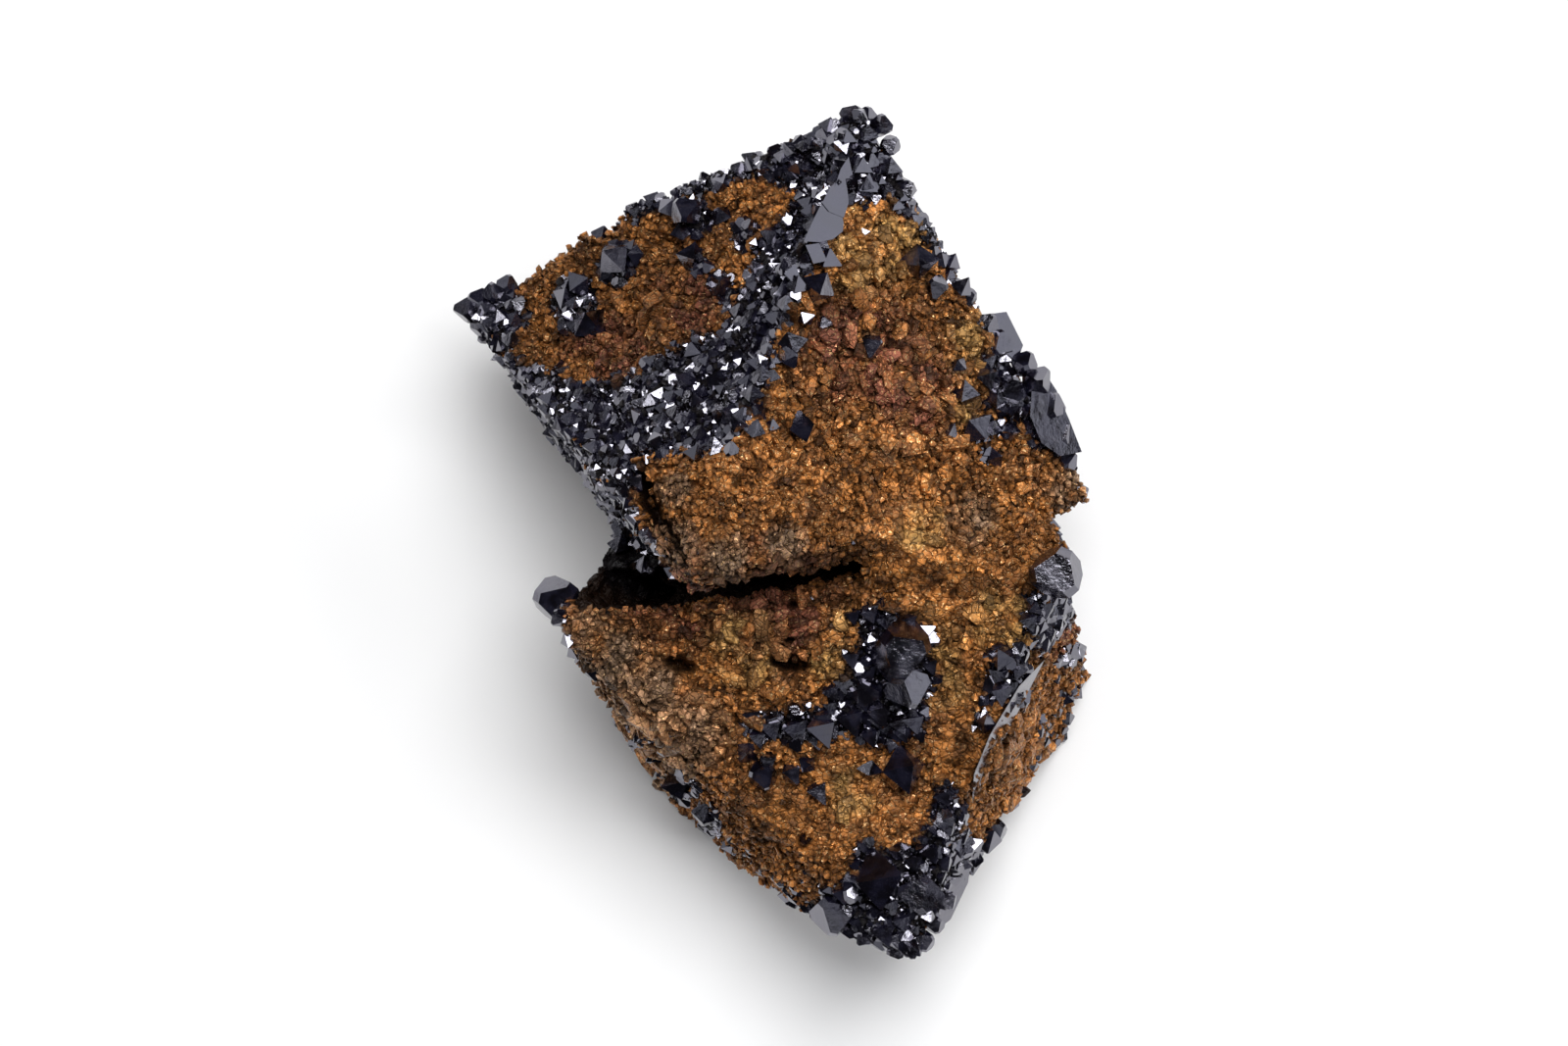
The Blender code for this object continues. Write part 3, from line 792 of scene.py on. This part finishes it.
def joinedCopies(name, templates, spots, turns, sizes, kinds, mat, values=None, ups=None):
    verts, faces, numbers, start = [], [], {key: [] for key in values or {}}, 0
    for kind, (points, tris) in enumerate(templates):
        mine = np.where(kinds == kind)[0]
        moved = np.einsum("nij,nmj->nmi", turns[mine], points[None] * sizes[mine, None, :])
        verts.append((moved + spots[mine, None, :]).reshape(-1, 3))
        steps = start + np.arange(len(mine)) * len(points)
        faces.append((tris[None] + steps[:, None, None]).reshape(-1, 3))
        for key in numbers:
            mixed = np.repeat(values[key][mine], len(points))
            if key == "shade":
                # painted shade at the foot of each grain
                high = np.einsum("nmi,ni->nm", moved, ups[mine]) / sizes[mine].max(1)[:, None]
                mixed *= footShade["shade"] + (1 - footShade["shade"]) * smoothStep(high.ravel(), *footShade["heights"])
            numbers[key].append(mixed)
        start += len(mine) * len(points)
    verts = np.concatenate(verts)
    verts[:, 2] = np.maximum(verts[:, 2], 0)    # the break stays flat
    made = {key: np.concatenate(parts) for key, parts in numbers.items()}
    return newObject(name, verts.tolist(), np.concatenate(faces).tolist(), mat, made)


# grains of copper, and the crumbs between them
nuggets = {
    "spacing": 0.64 * mm,
    "width": (0.60, 1.55),
    "mostlySmall": 1.5,    # a power
    "coarse": (0.60, 0.52, 0.22),    # their size anywhere, what the coarse spots add and what a noise adds
    "coarseNoise": (5 * mm, 1.4),
    "sides": ((0.95, 0.55, 0.7), (1.55, 0.95, 1.2)),    # least and most, as shares of the width
    "flat": 0.60,
    "lift": 0.14,      # how far the middle stands above the copper, as a share of the width
    "tilt": 34,
    "shade": (0.34, 1.1),
    "offCrust": 0.97,    # how far the crust and the smooth copper are clear of them
    "onSmooth": 0.93,
    "unseen": 0.7,     # share of them on faces turned from the eye
    "points": 10,
    "kinds": 14,
    "smooth": 24,      # degrees: edges flatter than this are rounded off
    "rim": 8,          # pixels round a deep pit that stay clear
    "coarseSpots": [
        (880, 340, 110), (790, 440, 60), (930, 430, 80), (800, 640, 80), (760, 730, 70), (960, 600, 80),
        (880, 290, 70), (1000, 370, 50), (900, 820, 60), (660, 740, 60), (1050, 780, 70), (640, 320, 60),
    ],
}
lumps = {
    "spacing": 0.34 * mm,
    "width": (0.34, 0.72),
    "sides": (0.8, 1.2),
    "lift": 0.42,
    "sink": 0.38,      # share of its width that a crumb is lifted at most, so that it stays in the copper
    "shade": (0.35, 1.0),
    "offCrust": 0.95,
    "onCoarse": 0.6,
    "onSmooth": 0.9,
    "unseen": 0.15,
    "points": 8,
    "kinds": 8,
    "rim": 5,
}
chips = {"shake": 0.22, "reach": (0.8, 1.1)}    # how uneven grains and crumbs are


def chipTemplates(count, points, flat, seed):
    rng = np.random.default_rng(seed)
    made = []
    for _ in range(count):
        # points spaced evenly round a ball, then shaken
        step = (np.arange(points) + 0.5) / points
        turn = np.pi * (1 + 5 ** 0.5) * np.arange(points) + rng.uniform(0, 6)
        ring = np.sqrt(1 - (1 - 2 * step) ** 2)
        p = np.stack([ring * np.cos(turn), ring * np.sin(turn), 1 - 2 * step], 1)
        p = p + rng.normal(0, chips["shake"], (points, 3))
        p *= 0.5 / np.linalg.norm(p, axis=1, keepdims=True) * rng.uniform(*chips["reach"], (points, 1))
        p[:, 2] *= flat
        made.append(hullTemplate(p))
    return made


def roundOff(obj):
    obj.data.shade_smooth()
    obj.data.set_sharp_from_angle(angle=math.radians(nuggets["smooth"]))


def makeNuggets():
    def wanted(p, n):
        pixels = pixelsOf(p)
        bare = (1 - nuggets["offCrust"] * crustShare(p, n)) * (1 - inGap(p, pixels))
        bare = bare * np.where(facing(p, n) > -0.1, 1.0, nuggets["unseen"])
        bare = bare * (1 - nuggets["onSmooth"] * blobs(pixels, smoothSpots))
        return bare * (1 - inPit(pixels, nuggets["rim"]))
    points, normals, rng = spread(nuggets["spacing"], 21, wanted)
    low, high = nuggets["width"]
    n = len(points)
    least, inSpots, byNoise = nuggets["coarse"]
    size, weight = nuggets["coarseNoise"]
    coarse = least + inSpots * blobs(pixelsOf(points), nuggets["coarseSpots"])
    coarse += byNoise * np.clip(0.5 + noiseAt(points, size, 9.0) * weight, 0, 1)
    width = (low + (high - low) * rng.random(n) ** nuggets["mostlySmall"]) * coarse * mm
    sizes = width[:, None] * rng.uniform(*nuggets["sides"], (n, 3))
    values = copperValues(points, normals)
    values["shade"] = rng.uniform(*nuggets["shade"], n) * dimmed(points, normals)
    templates = chipTemplates(nuggets["kinds"], nuggets["points"], nuggets["flat"], 3)
    obj = joinedCopies("copperNuggets", templates, points + normals * width[:, None] * nuggets["lift"],
                       onSurface(rng, normals, nuggets["tilt"]), sizes,
                       rng.integers(0, len(templates), n), copperMat, values, normals)
    roundOff(obj)
    finishPiece(obj)


def makeLumps():
    def wanted(p, n):
        pixels = pixelsOf(p)
        bare = (1 - lumps["offCrust"] * crustShare(p, n)) * (1 - inGap(p, pixels))
        bare = bare * np.where(facing(p, n) > 0.02, 1.0, lumps["unseen"])
        plain = np.maximum(lumps["onCoarse"] * blobs(pixels, nuggets["coarseSpots"]),
                           lumps["onSmooth"] * blobs(pixels, smoothSpots))
        return bare * (1 - plain) * (1 - inPit(pixels, lumps["rim"]))
    points, normals, rng = spread(lumps["spacing"], 22, wanted)
    low, high = lumps["width"]
    n = len(points)
    width = rng.uniform(low, high, n) * mm
    sizes = width[:, None] * rng.uniform(*lumps["sides"], (n, 3))
    values = copperValues(points, normals)
    values["shade"] = rng.uniform(*lumps["shade"], n) * dimmed(points, normals)
    templates = chipTemplates(lumps["kinds"], lumps["points"], 1.0, 5)
    lift = np.minimum(rng.uniform(0.0, lumps["lift"], n) * mm, lumps["sink"] * width)[:, None]
    obj = joinedCopies("copperLumps", templates, points + normals * lift, anyTurns(rng, n), sizes,
                       rng.integers(0, len(templates), n), copperMat, values, normals)
    roundOff(obj)
    finishPiece(obj)


makeNuggets()
makeLumps()

# the light stands here because the brightest crystals are turned to it
studio = {
    "floor": (0.93, 0.93, 0.93, 1),
    "floorHalf": 2.0,
    "floorBelow": 0.01 * mm,
    "world": (0.011, 0.012, 0.016, 1),
    "distance": 0.5,
    "aim": (0, 0, 15 * mm),
    "brightFrom": 2.0,    # radiance from which a mirrored lamp makes a facet white
    "lights": {    # the way to it, size, radiance, colour
        "key": ((0.14, 0.34, 0.93), 0.27, 11.3, "white"),
        "right": ((0.88, 0.06, 0.47), 0.30, 1.10, "cool"),
        "front": ((0.30, -0.62, 0.72), 0.26, 0.50, "cool"),
        "leftLow": ((-0.74, 0.50, 0.45), 0.30, 0.50, "cool"),
        "left": ((-0.70, 0.22, 0.68), 0.12, 6.0, "white"),
        "far": ((0.45, 0.75, 0.50), 0.12, 5.0, "white"),
        "low": ((0.80, -0.34, 0.50), 0.12, 9.0, "white"),
        "side": ((-0.62, -0.45, 0.64), 0.12, 5.0, "white"),
    },
    "white": (1.0, 1.0, 1.0),
    "cool": (0.92, 0.95, 1.0),
}


def halfway(name):
    # a face square to this mirrors that lamp to the eye
    return (Vector(studio["lights"][name][0]).normalized() + Vector((0, 0, 1))).normalized()


def quietTurn(rng, degrees, axes):
    # a turn with which no face mirrors a bright lamp, if enough tries find one
    ways = np.array([halfway(name) for name, (_, _, radiance, _) in studio["lights"].items()
                     if radiance > studio["brightFrom"]])
    corners = np.array([(x, y, z) for x in (1, -1) for y in (1, -1) for z in (1, -1)]) / math.sqrt(3)
    corners = np.concatenate([corners, np.eye(3), -np.eye(3)])    # and of the cut corners
    for _ in range(crystals["quietTries"]):
        turn = smallTurns(rng, 1, degrees)[0] @ axes
        if (ways @ turn @ corners.T).max() < math.cos(math.radians(crystals["quiet"])):
            break
    return turn


def brightTurn(rng):
    half = halfway("key")
    spin = Matrix.Rotation(rng.uniform(0, 2 * math.pi), 3, half)
    return np.array(spin @ Vector((1, 1, 1)).rotation_difference(half).to_matrix())


# the dark crust: small octahedral crystals
crust = {
    "aligned": 0.42,         # share that lies nearly parallel to the big crystal
    "turn": 14,              # how nearly, in degrees
    "uneven": 0.18,
    "mostlySmall": 1.3,
    "clear": 0.9,            # how far the clear spots are free of them
    "parting": (700, 600, -0.1),    # pixel and slope of the line between the two big crystals
    "kinds": {
        "cupriteCrust": {
            "spacing": 0.50 * mm,
            "width": (0.70, 1.40),
            "cuts": (0.0, 0.0, 0.08, 0.14, 0.20, 0.26, 0.12, 0.30),    # how far the corners are cut off
            "bright": 0.030,     # share with a face that mirrors the key light
            "lift": 0.12,
            "seed": 31,
        },
        "cupriteFine": {
            "spacing": 0.30 * mm,
            "width": (0.30, 0.72),
            "cuts": (0.0, 0.0, 0.0, 0.0, 0.16),
            "bright": 0.075,
            "lift": 0.25,
            "seed": 32,
        },
    },
}


def octahedronPoints(rng, cut=0.0, uneven=0.0):
    arms = []
    for axis in range(3):
        for side in (1, -1):
            arm = np.zeros(3)
            arm[axis] = side * 0.5 * (1 + rng.uniform(-uneven, uneven))
            arms.append(arm)
    if not cut:
        return arms
    return [a + cut * (b - a) for a in arms for b in arms if abs(np.dot(a, b)) < 1e-9]


def crystalTemplates(cuts, seed):
    rng = np.random.default_rng(seed)
    return [hullTemplate(octahedronPoints(rng, cut, crust["uneven"])) for cut in cuts]


def hostTurns(points):
    # the big crystal a point is on gives the direction of its small ones
    pixels = pixelsOf(points)
    px, py, slope = crust["parting"]
    upperOnes = pixels[:, 1] < py + slope * (pixels[:, 0] - px)
    return np.where(upperOnes[:, None, None], upperAxes[None], lowerAxes[None])


def makeCrust(name, kind):
    def wanted(p, n):
        pixels = pixelsOf(p)
        bare = crustShare(p, n) * (1 - inGap(p, pixels))
        return bare * (1 - crust["clear"] * blobs(pixels, clearSpots))
    points, normals, rng = spread(kind["spacing"], kind["seed"], wanted)
    n = len(points)
    sizes = np.repeat((rng.uniform(*kind["width"], n) ** crust["mostlySmall"] * mm)[:, None], 3, 1)
    turns = smallTurns(rng, n, crust["turn"]) @ hostTurns(points)
    loose = rng.random(n) > crust["aligned"]
    turns[loose] = anyTurns(rng, int(loose.sum()))
    for i in np.where(rng.random(n) < kind["bright"])[0]:
        turns[i] = brightTurn(rng)
    templates = crystalTemplates(kind["cuts"], 7)
    obj = joinedCopies(name, templates, points + normals * kind["lift"] * sizes[:, :1], turns, sizes,
                       rng.integers(0, len(templates), n), cupriteMat)
    finishPiece(obj)


for name, kind in crust["kinds"].items():
    makeCrust(name, kind)

# the large crystals, each set where the photo shows it: x, y and width in pixels
crystals = {
    "turn": 14,        # degrees from the direction of the big crystal
    "stand": 0.16,     # how far the middle stands above the copper, as a share of the width
    "uneven": 0.16,
    "cuts": (0.0, 0.0, 0.06, 0.12, 0.20),
    "upper": [
        (846, 132, 24), (864, 118, 26), (886, 120, 26), (900, 132, 24), (862, 142, 24), (882, 138, 26),
        (896, 150, 24), (868, 168, 28), (888, 165, 26), (905, 175, 26), (922, 185, 24), (880, 190, 24),
        (900, 195, 22), (915, 160, 22), (935, 205, 20), (945, 215, 22), (958, 252, 24), (965, 262, 24),
        (984, 268, 28), (990, 290, 24), (1000, 310, 22), (1040, 405, 24), (1050, 384, 24), (1098, 476, 20),
        (1106, 486, 16), (838, 265, 34), (812, 296, 26), (803, 312, 24), (795, 328, 24), (790, 345, 22),
        (783, 365, 24), (776, 385, 24), (770, 405, 26), (762, 425, 26), (750, 445, 30), (770, 440, 26),
        (785, 434, 18), (740, 452, 26), (640, 545, 34), (655, 575, 30), (630, 560, 26), (668, 580, 22),
        (645, 585, 20), (625, 530, 24), (482, 320, 36), (502, 332, 26), (522, 335, 26), (474, 334, 22),
        (512, 393, 22),
    ],
    "lower": [
        (905, 636, 30), (888, 626, 24), (870, 672, 26), (862, 694, 26), (876, 706, 34), (900, 728, 34),
        (918, 738, 28), (865, 735, 40), (838, 742, 40), (812, 742, 36), (790, 742, 32), (770, 730, 24),
        (775, 752, 24), (890, 748, 28), (915, 748, 24), (932, 735, 28), (938, 750, 20), (780, 790, 42),
        (808, 786, 30), (905, 953, 32), (930, 972, 28), (885, 960, 26), (915, 970, 22), (880, 940, 28),
        (920, 940, 26), (965, 815, 28), (965, 840, 30), (950, 868, 28), (935, 880, 30), (880, 862, 18),
        (912, 925, 22), (940, 960, 24), (1062, 620, 28), (1075, 636, 20), (1050, 635, 24), (1075, 692, 16),
    ],
    "loose": [    # single ones, set on the bare copper any way round
        (932, 268, 36), (960, 297, 28), (975, 293, 26), (882, 342, 30), (971, 372, 18), (974, 400, 30),
        (1000, 438, 34), (1024, 437, 22), (968, 445, 20), (1010, 465, 22), (1028, 392, 34), (1012, 386, 28),
        (1012, 408, 24), (811, 357, 34), (803, 366, 24), (811, 430, 32), (838, 330, 18), (828, 290, 36),
        (632, 268, 38), (648, 260, 24), (590, 288, 30), (597, 325, 36), (580, 306, 26), (606, 342, 24),
        (712, 222, 40), (698, 236, 26), (735, 215, 24), (690, 215, 24), (712, 270, 26), (740, 290, 26),
        (833, 815, 30), (820, 860, 18), (916, 776, 44), (886, 782, 22), (762, 770, 24), (780, 768, 24),
        (822, 776, 20), (648, 757, 34), (702, 802, 36), (727, 828, 32), (1088, 665, 22), (1104, 655, 18),
        (1022, 664, 26), (1032, 686, 26), (1015, 705, 26), (1005, 735, 20), (1010, 684, 20), (870, 116, 30),
        (890, 114, 28), (848, 126, 26), (903, 122, 26), (880, 108, 26),
    ],
    "looseTurn": 180,
    "looseStand": 0.34,
    "looseScale": 1.15,
    "turnedStand": 0.22,
    "turnedTurn": 18,
    # the largest, which lie each its own way: place, width, turn in degrees about X, Y and Z, and how
    # far the corners are cut off
    "turned": [
        (908, 658, 82, (45, 22, 70), 0.22),
        (926, 696, 60, (50, 10, 20), 0.18),
        (890, 702, 46, (20, 30, 50), 0.20),
        (1075, 576, 74, (45, 22, 8), 0.26),
        (892, 888, 74, (42, 6, 96), 0.06),
        (857, 926, 64, (50, -30, 20), 0.20),
        (944, 918, 60, (44, 4, -18), 0.22),
    ],
    "quiet": 16,    # degrees: no face of a dark crystal is this near to mirroring a bright lamp
    "quietTries": 30,
    "bright": [    # small ones with a face that catches the light
        (949, 236, 21), (943, 214, 12), (812, 188, 15), (881, 238, 12), (816, 323, 20), (771, 247, 12),
        (755, 372, 12), (780, 369, 12), (655, 432, 12), (513, 391, 15), (617, 427, 9), (538, 440, 11),
        (843, 165, 9), (719, 346, 10), (567, 470, 10), (645, 553, 15), (663, 578, 13), (634, 531, 11),
        (518, 326, 12), (592, 312, 12), (781, 252, 9), (762, 399, 10), (888, 742, 10), (902, 730, 9),
        (862, 664, 9), (910, 940, 9), (938, 966, 10), (930, 880, 8), (851, 727, 7), (929, 642, 12),
        (896, 760, 9), (913, 741, 8), (700, 438, 8), (600, 470, 9), (585, 505, 8), (652, 582, 20),
        (624, 538, 17), (670, 590, 14), (612, 520, 12),
    ],
    "overhanging": [    # place and width in mm
        (4.1, 24.1, 24.0, 1.9, "upper"), (4.9, 24.2, 23.6, 1.8, "upper"), (5.7, 23.6, 23.8, 1.9, "upper"),
        (3.1, 23.4, 23.9, 1.7, "upper"), (6.3, 22.5, 23.6, 1.7, "upper"), (11.0, 13.6, 20.0, 1.8, "upper"),
        (-19.5, 13.2, 11.9, 2.3, "upper"), (-18.9, 13.8, 12.2, 2.0, "upper"),
        (-18.8, 12.3, 11.9, 2.0, "upper"), (-18.0, 14.2, 12.7, 1.8, "upper"),
        (-17.1, 14.7, 13.1, 1.7, "upper"), (7.8, -26.1, 15.6, 1.8, "lower"),
        (6.9, -26.2, 15.2, 1.6, "lower"), (8.6, -25.6, 15.4, 1.6, "lower"),
        (6.0, -25.8, 14.6, 1.6, "lower"), (5.0, -25.6, 14.0, 1.6, "lower"),
        (4.0, -25.1, 13.4, 1.7, "lower"), (9.2, -24.6, 15.2, 1.7, "lower"),
        (10.0, -23.2, 14.6, 1.8, "lower"), (3.0, -24.6, 12.8, 1.8, "lower"),
        (12.2, 12.0, 19.6, 2.0, "upper"), (12.9, 10.8, 18.9, 2.4, "upper"), (14.6, 9.7, 18.4, 2.3, "upper"),
        (15.3, 8.6, 17.9, 2.5, "upper"), (16.1, 7.0, 17.1, 2.6, "upper"), (16.9, 5.3, 16.5, 2.4, "upper"),
        (17.3, 3.7, 15.8, 1.8, "upper"), (-13.9, -4.6, 16.6, 3.9, "lower"),
    ],
    "overCut": 0.22,
    "overTurn": 50,
    # those on unseen sides: directions counter-clockwise from +X in degrees, how many, and a seed
    "sides": {
        "upper": (-10.0, 195.0, 24, 21),
        "lower": (258.0, 322.0, 14, 22),
    },
    "sideHeights": (2.5, 9.5),    # mm
    "sideWidths": (1.5, 3.2),
    "sideStart": 60.0,    # how far out the lines to them begin
}


def addCrystal(bm, centre, axes, width, rng, cut=None):
    if cut is None:
        cut = crystals["cuts"][rng.integers(0, len(crystals["cuts"]))]
    shape = octahedronPoints(rng, cut, crystals["uneven"])
    bmesh.ops.convex_hull(bm, input=[bm.verts.new(centre + Vector(axes @ (arm * width))) for arm in shape])


def sideLine(draw, corners, first, last, share):
    middle = sum((Vector(corner) for corner in corners), Vector()) / len(corners)
    angle = math.radians(first + (last - first) * share)
    way = Vector((math.cos(angle), math.sin(angle), 0.0))
    middle.z = draw.uniform(*crystals["sideHeights"])
    return (middle + way * crystals["sideStart"]) * mm, -way


def makeCrystals():
    bm = bmesh.new()
    rng = np.random.default_rng(41)
    hosts = {"upper": upperAxes, "lower": lowerAxes}
    pixel = mm / photo["pixelsPerMm"]
    stand, wanted = crystals["stand"], []
    for side, axes in hosts.items():
        for px, py, width in crystals[side]:
            turn = quietTurn(rng, crystals["turn"], axes)
            wanted.append((sightRay(px, py), width * pixel, turn, stand, None))
        first, last, count, seed = crystals["sides"][side]
        draw = random.Random(seed)
        for step in range(count):
            line = sideLine(draw, body[side].values(), first, last, (step + draw.random()) / count)
            turn = smallTurns(rng, 1, 2 * crystals["turn"])[0] @ axes
            wanted.append((line, draw.uniform(*crystals["sideWidths"]) * mm, turn, stand, None))
    for px, py, width in crystals["loose"]:
        turn = quietTurn(rng, crystals["looseTurn"], upperAxes)
        width = crystals["looseScale"] * width * pixel
        wanted.append((sightRay(px, py), width, turn, crystals["looseStand"], None))
    for px, py, width, angles, cut in crystals["turned"]:
        turn = np.array(Euler([math.radians(a) for a in angles]).to_matrix())
        turn = quietTurn(rng, crystals["turnedTurn"], turn)
        wanted.append((sightRay(px, py), width * pixel, turn, crystals["turnedStand"], cut))
    for px, py, width in crystals["bright"]:
        wanted.append((sightRay(px, py), width * pixel, brightTurn(rng), crystals["looseStand"], None))
    for line, width, turn, stand, cut in wanted:
        point, normal, _, _ = tree.ray_cast(*line)
        if point is None:
            print("no copper on a line from", line[0])
            continue
        addCrystal(bm, point + normal * stand * width, turn, width, rng, cut)
    for x, y, z, width, side in crystals["overhanging"]:
        turn = quietTurn(rng, crystals["overTurn"], hosts[side])
        addCrystal(bm, Vector((x, y, z)) * mm, turn, width * mm, rng, crystals["overCut"])
    finishPiece(objectFrom(bm, "cupriteLarge", cupriteMat))


makeCrystals()

# long flat plates: outline in pixels, the face they lie along, rise and depth in mm, and for
# those that stand out over an edge a point of their plane in mm
farFace = np.array(faceNormal(*(body["lower"][k] for k in ("backRight", "right", "bottom"))))
edgeFace = np.array((0.62, 0.10, 0.78))
tipFace = np.array((0.80, -0.35, 0.48))
plates = {
    "turn": 4,    # degrees
    "list": [
        ([(862, 179), (847, 191), (839, 207), (846, 216), (861, 222), (862, 213), (866, 207), (865, 196)],
         rightFace, 0.9, 1.4, None),
        ([(843, 198), (831, 222), (820, 246), (836, 247), (850, 244), (860, 236), (861, 228), (858, 214)],
         rightFace, 0.8, 1.4, None),
        ([(822, 250), (836, 248), (844, 266), (830, 269)], rightFace, 0.8, 1.4, None),
        ([(815, 268), (823, 257), (831, 276), (817, 273)], rightFace, 0.6, 1.4, None),
        ([(800, 279), (812, 269), (819, 292), (811, 290)], rightFace, 0.7, 1.4, None),
        ([(788, 307), (801, 282), (819, 300), (805, 313), (790, 312)], rightFace, 0.6, 1.4, None),
        ([(780, 322), (788, 308), (796, 320)], rightFace, 0.6, 1.2, None),
        ([(771, 340), (780, 329), (793, 325), (801, 337), (790, 344)], rightFace, 0.6, 1.2, None),
        ([(764, 360), (774, 346), (788, 350), (784, 366)], rightFace, 0.5, 1.2, None),
        ([(758, 386), (768, 366), (782, 372), (776, 392)], rightFace, 0.5, 1.2, None),
        ([(852, 190), (858, 172), (866, 160), (870, 178)], rightFace, 0.7, 1.2, None),
        ([(877, 195), (887, 176), (896, 196)], rightFace, 0.8, 1.2, None),
        ([(872, 176), (881, 160), (891, 176)], rightFace, 0.8, 1.2, None),
        ([(1054, 381), (1068, 383), (1078, 398), (1091, 428), (1104, 461), (1082, 465), (1063, 452),
          (1051, 424)],
         edgeFace, 0, 3.0, (15.2, 7.0, 18.5)),
        ([(1012, 320), (1027, 318), (1044, 352), (1040, 364), (1024, 366), (1013, 349)],
         rightFace, 0, 2.6, (12.7, 10.9, 19.5)),
        ([(970, 866), (984, 848), (993, 858), (988, 900), (970, 938), (954, 950), (958, 910)],
         tipFace, 0.5, 1.6, None),
        ([(1066, 673), (1050, 700), (1020, 755), (1000, 800), (992, 818), (994, 790), (1010, 750),
          (1040, 700)],
         farFace, 0.3, 1.4, None),
    ],
}


def makePlates():
    bm = bmesh.new()
    rng = np.random.default_rng(51)
    for outline, faces, rise, depth, through in plates["list"]:
        normal = Vector(smallTurns(rng, 1, plates["turn"])[0] @ faces).normalized()
        point = Vector(through) * mm if through else tree.ray_cast(*sightRay(*np.mean(outline, 0)))[0]
        if point is None:
            print("no copper under a plate at", outline[0])
            continue
        top = []
        for px, py in outline:
            start, way = sightRay(px, py)
            t = (point + normal * rise * mm - start).dot(normal) / way.dot(normal)
            top.append(start + way * t)
        under = [p + sightRay(px, py)[1] * depth * mm for p, (px, py) in zip(top, outline)]
        bmesh.ops.convex_hull(bm, input=[bm.verts.new(p) for p in top + under])
    finishPiece(objectFrom(bm, "cupritePlates", cupriteMat))


makePlates()

# floor, light and camera


def newLight(name, way, size, radiance, colour):
    lamp = bpy.data.lights.new(name, "AREA")
    lamp.size = size
    lamp.energy = radiance * math.pi * size * size
    lamp.color = studio[colour]
    obj = bpy.data.objects.new(name, lamp)
    way = Vector(way).normalized()
    obj.location = Vector(studio["aim"]) + way * studio["distance"]
    obj.rotation_euler = way.to_track_quat("Z", "Y").to_euler()
    bpy.context.scene.collection.objects.link(obj)


floorMat, _, floorShader, _ = newMaterial("floorPaper")
floorShader.inputs["Base Color"].default_value = studio["floor"]
floorShader.inputs["Roughness"].default_value = 0.9
floorShader.inputs["Specular IOR Level"].default_value = 0.0
half = studio["floorHalf"]
corners = [(-half, -half, 0), (half, -half, 0), (half, half, 0), (-half, half, 0)]
floor = newObject("floor", corners, [(0, 1, 2, 3)], floorMat)
floor.location.z = -studio["floorBelow"]
for name, lamp in studio["lights"].items():
    newLight(name, *lamp)
world = bpy.data.worlds.new("studio")
world.use_nodes = True
world.node_tree.nodes["Background"].inputs["Color"].default_value = studio["world"]
bpy.context.scene.world = world
bpy.context.scene.view_settings.view_transform = "Standard"

camera = bpy.data.cameras.new("camera")
camera.sensor_width = photo["sensor"]
camera.lens = photo["sensor"] * eyeDrop / (photo["width"] / photo["pixelsPerMm"] * mm)
camera.clip_start = 0.01
cameraObj = bpy.data.objects.new("camera", camera)
cameraObj.location = eye
bpy.context.scene.collection.objects.link(cameraObj)
bpy.context.scene.camera = cameraObj
print("studio made")
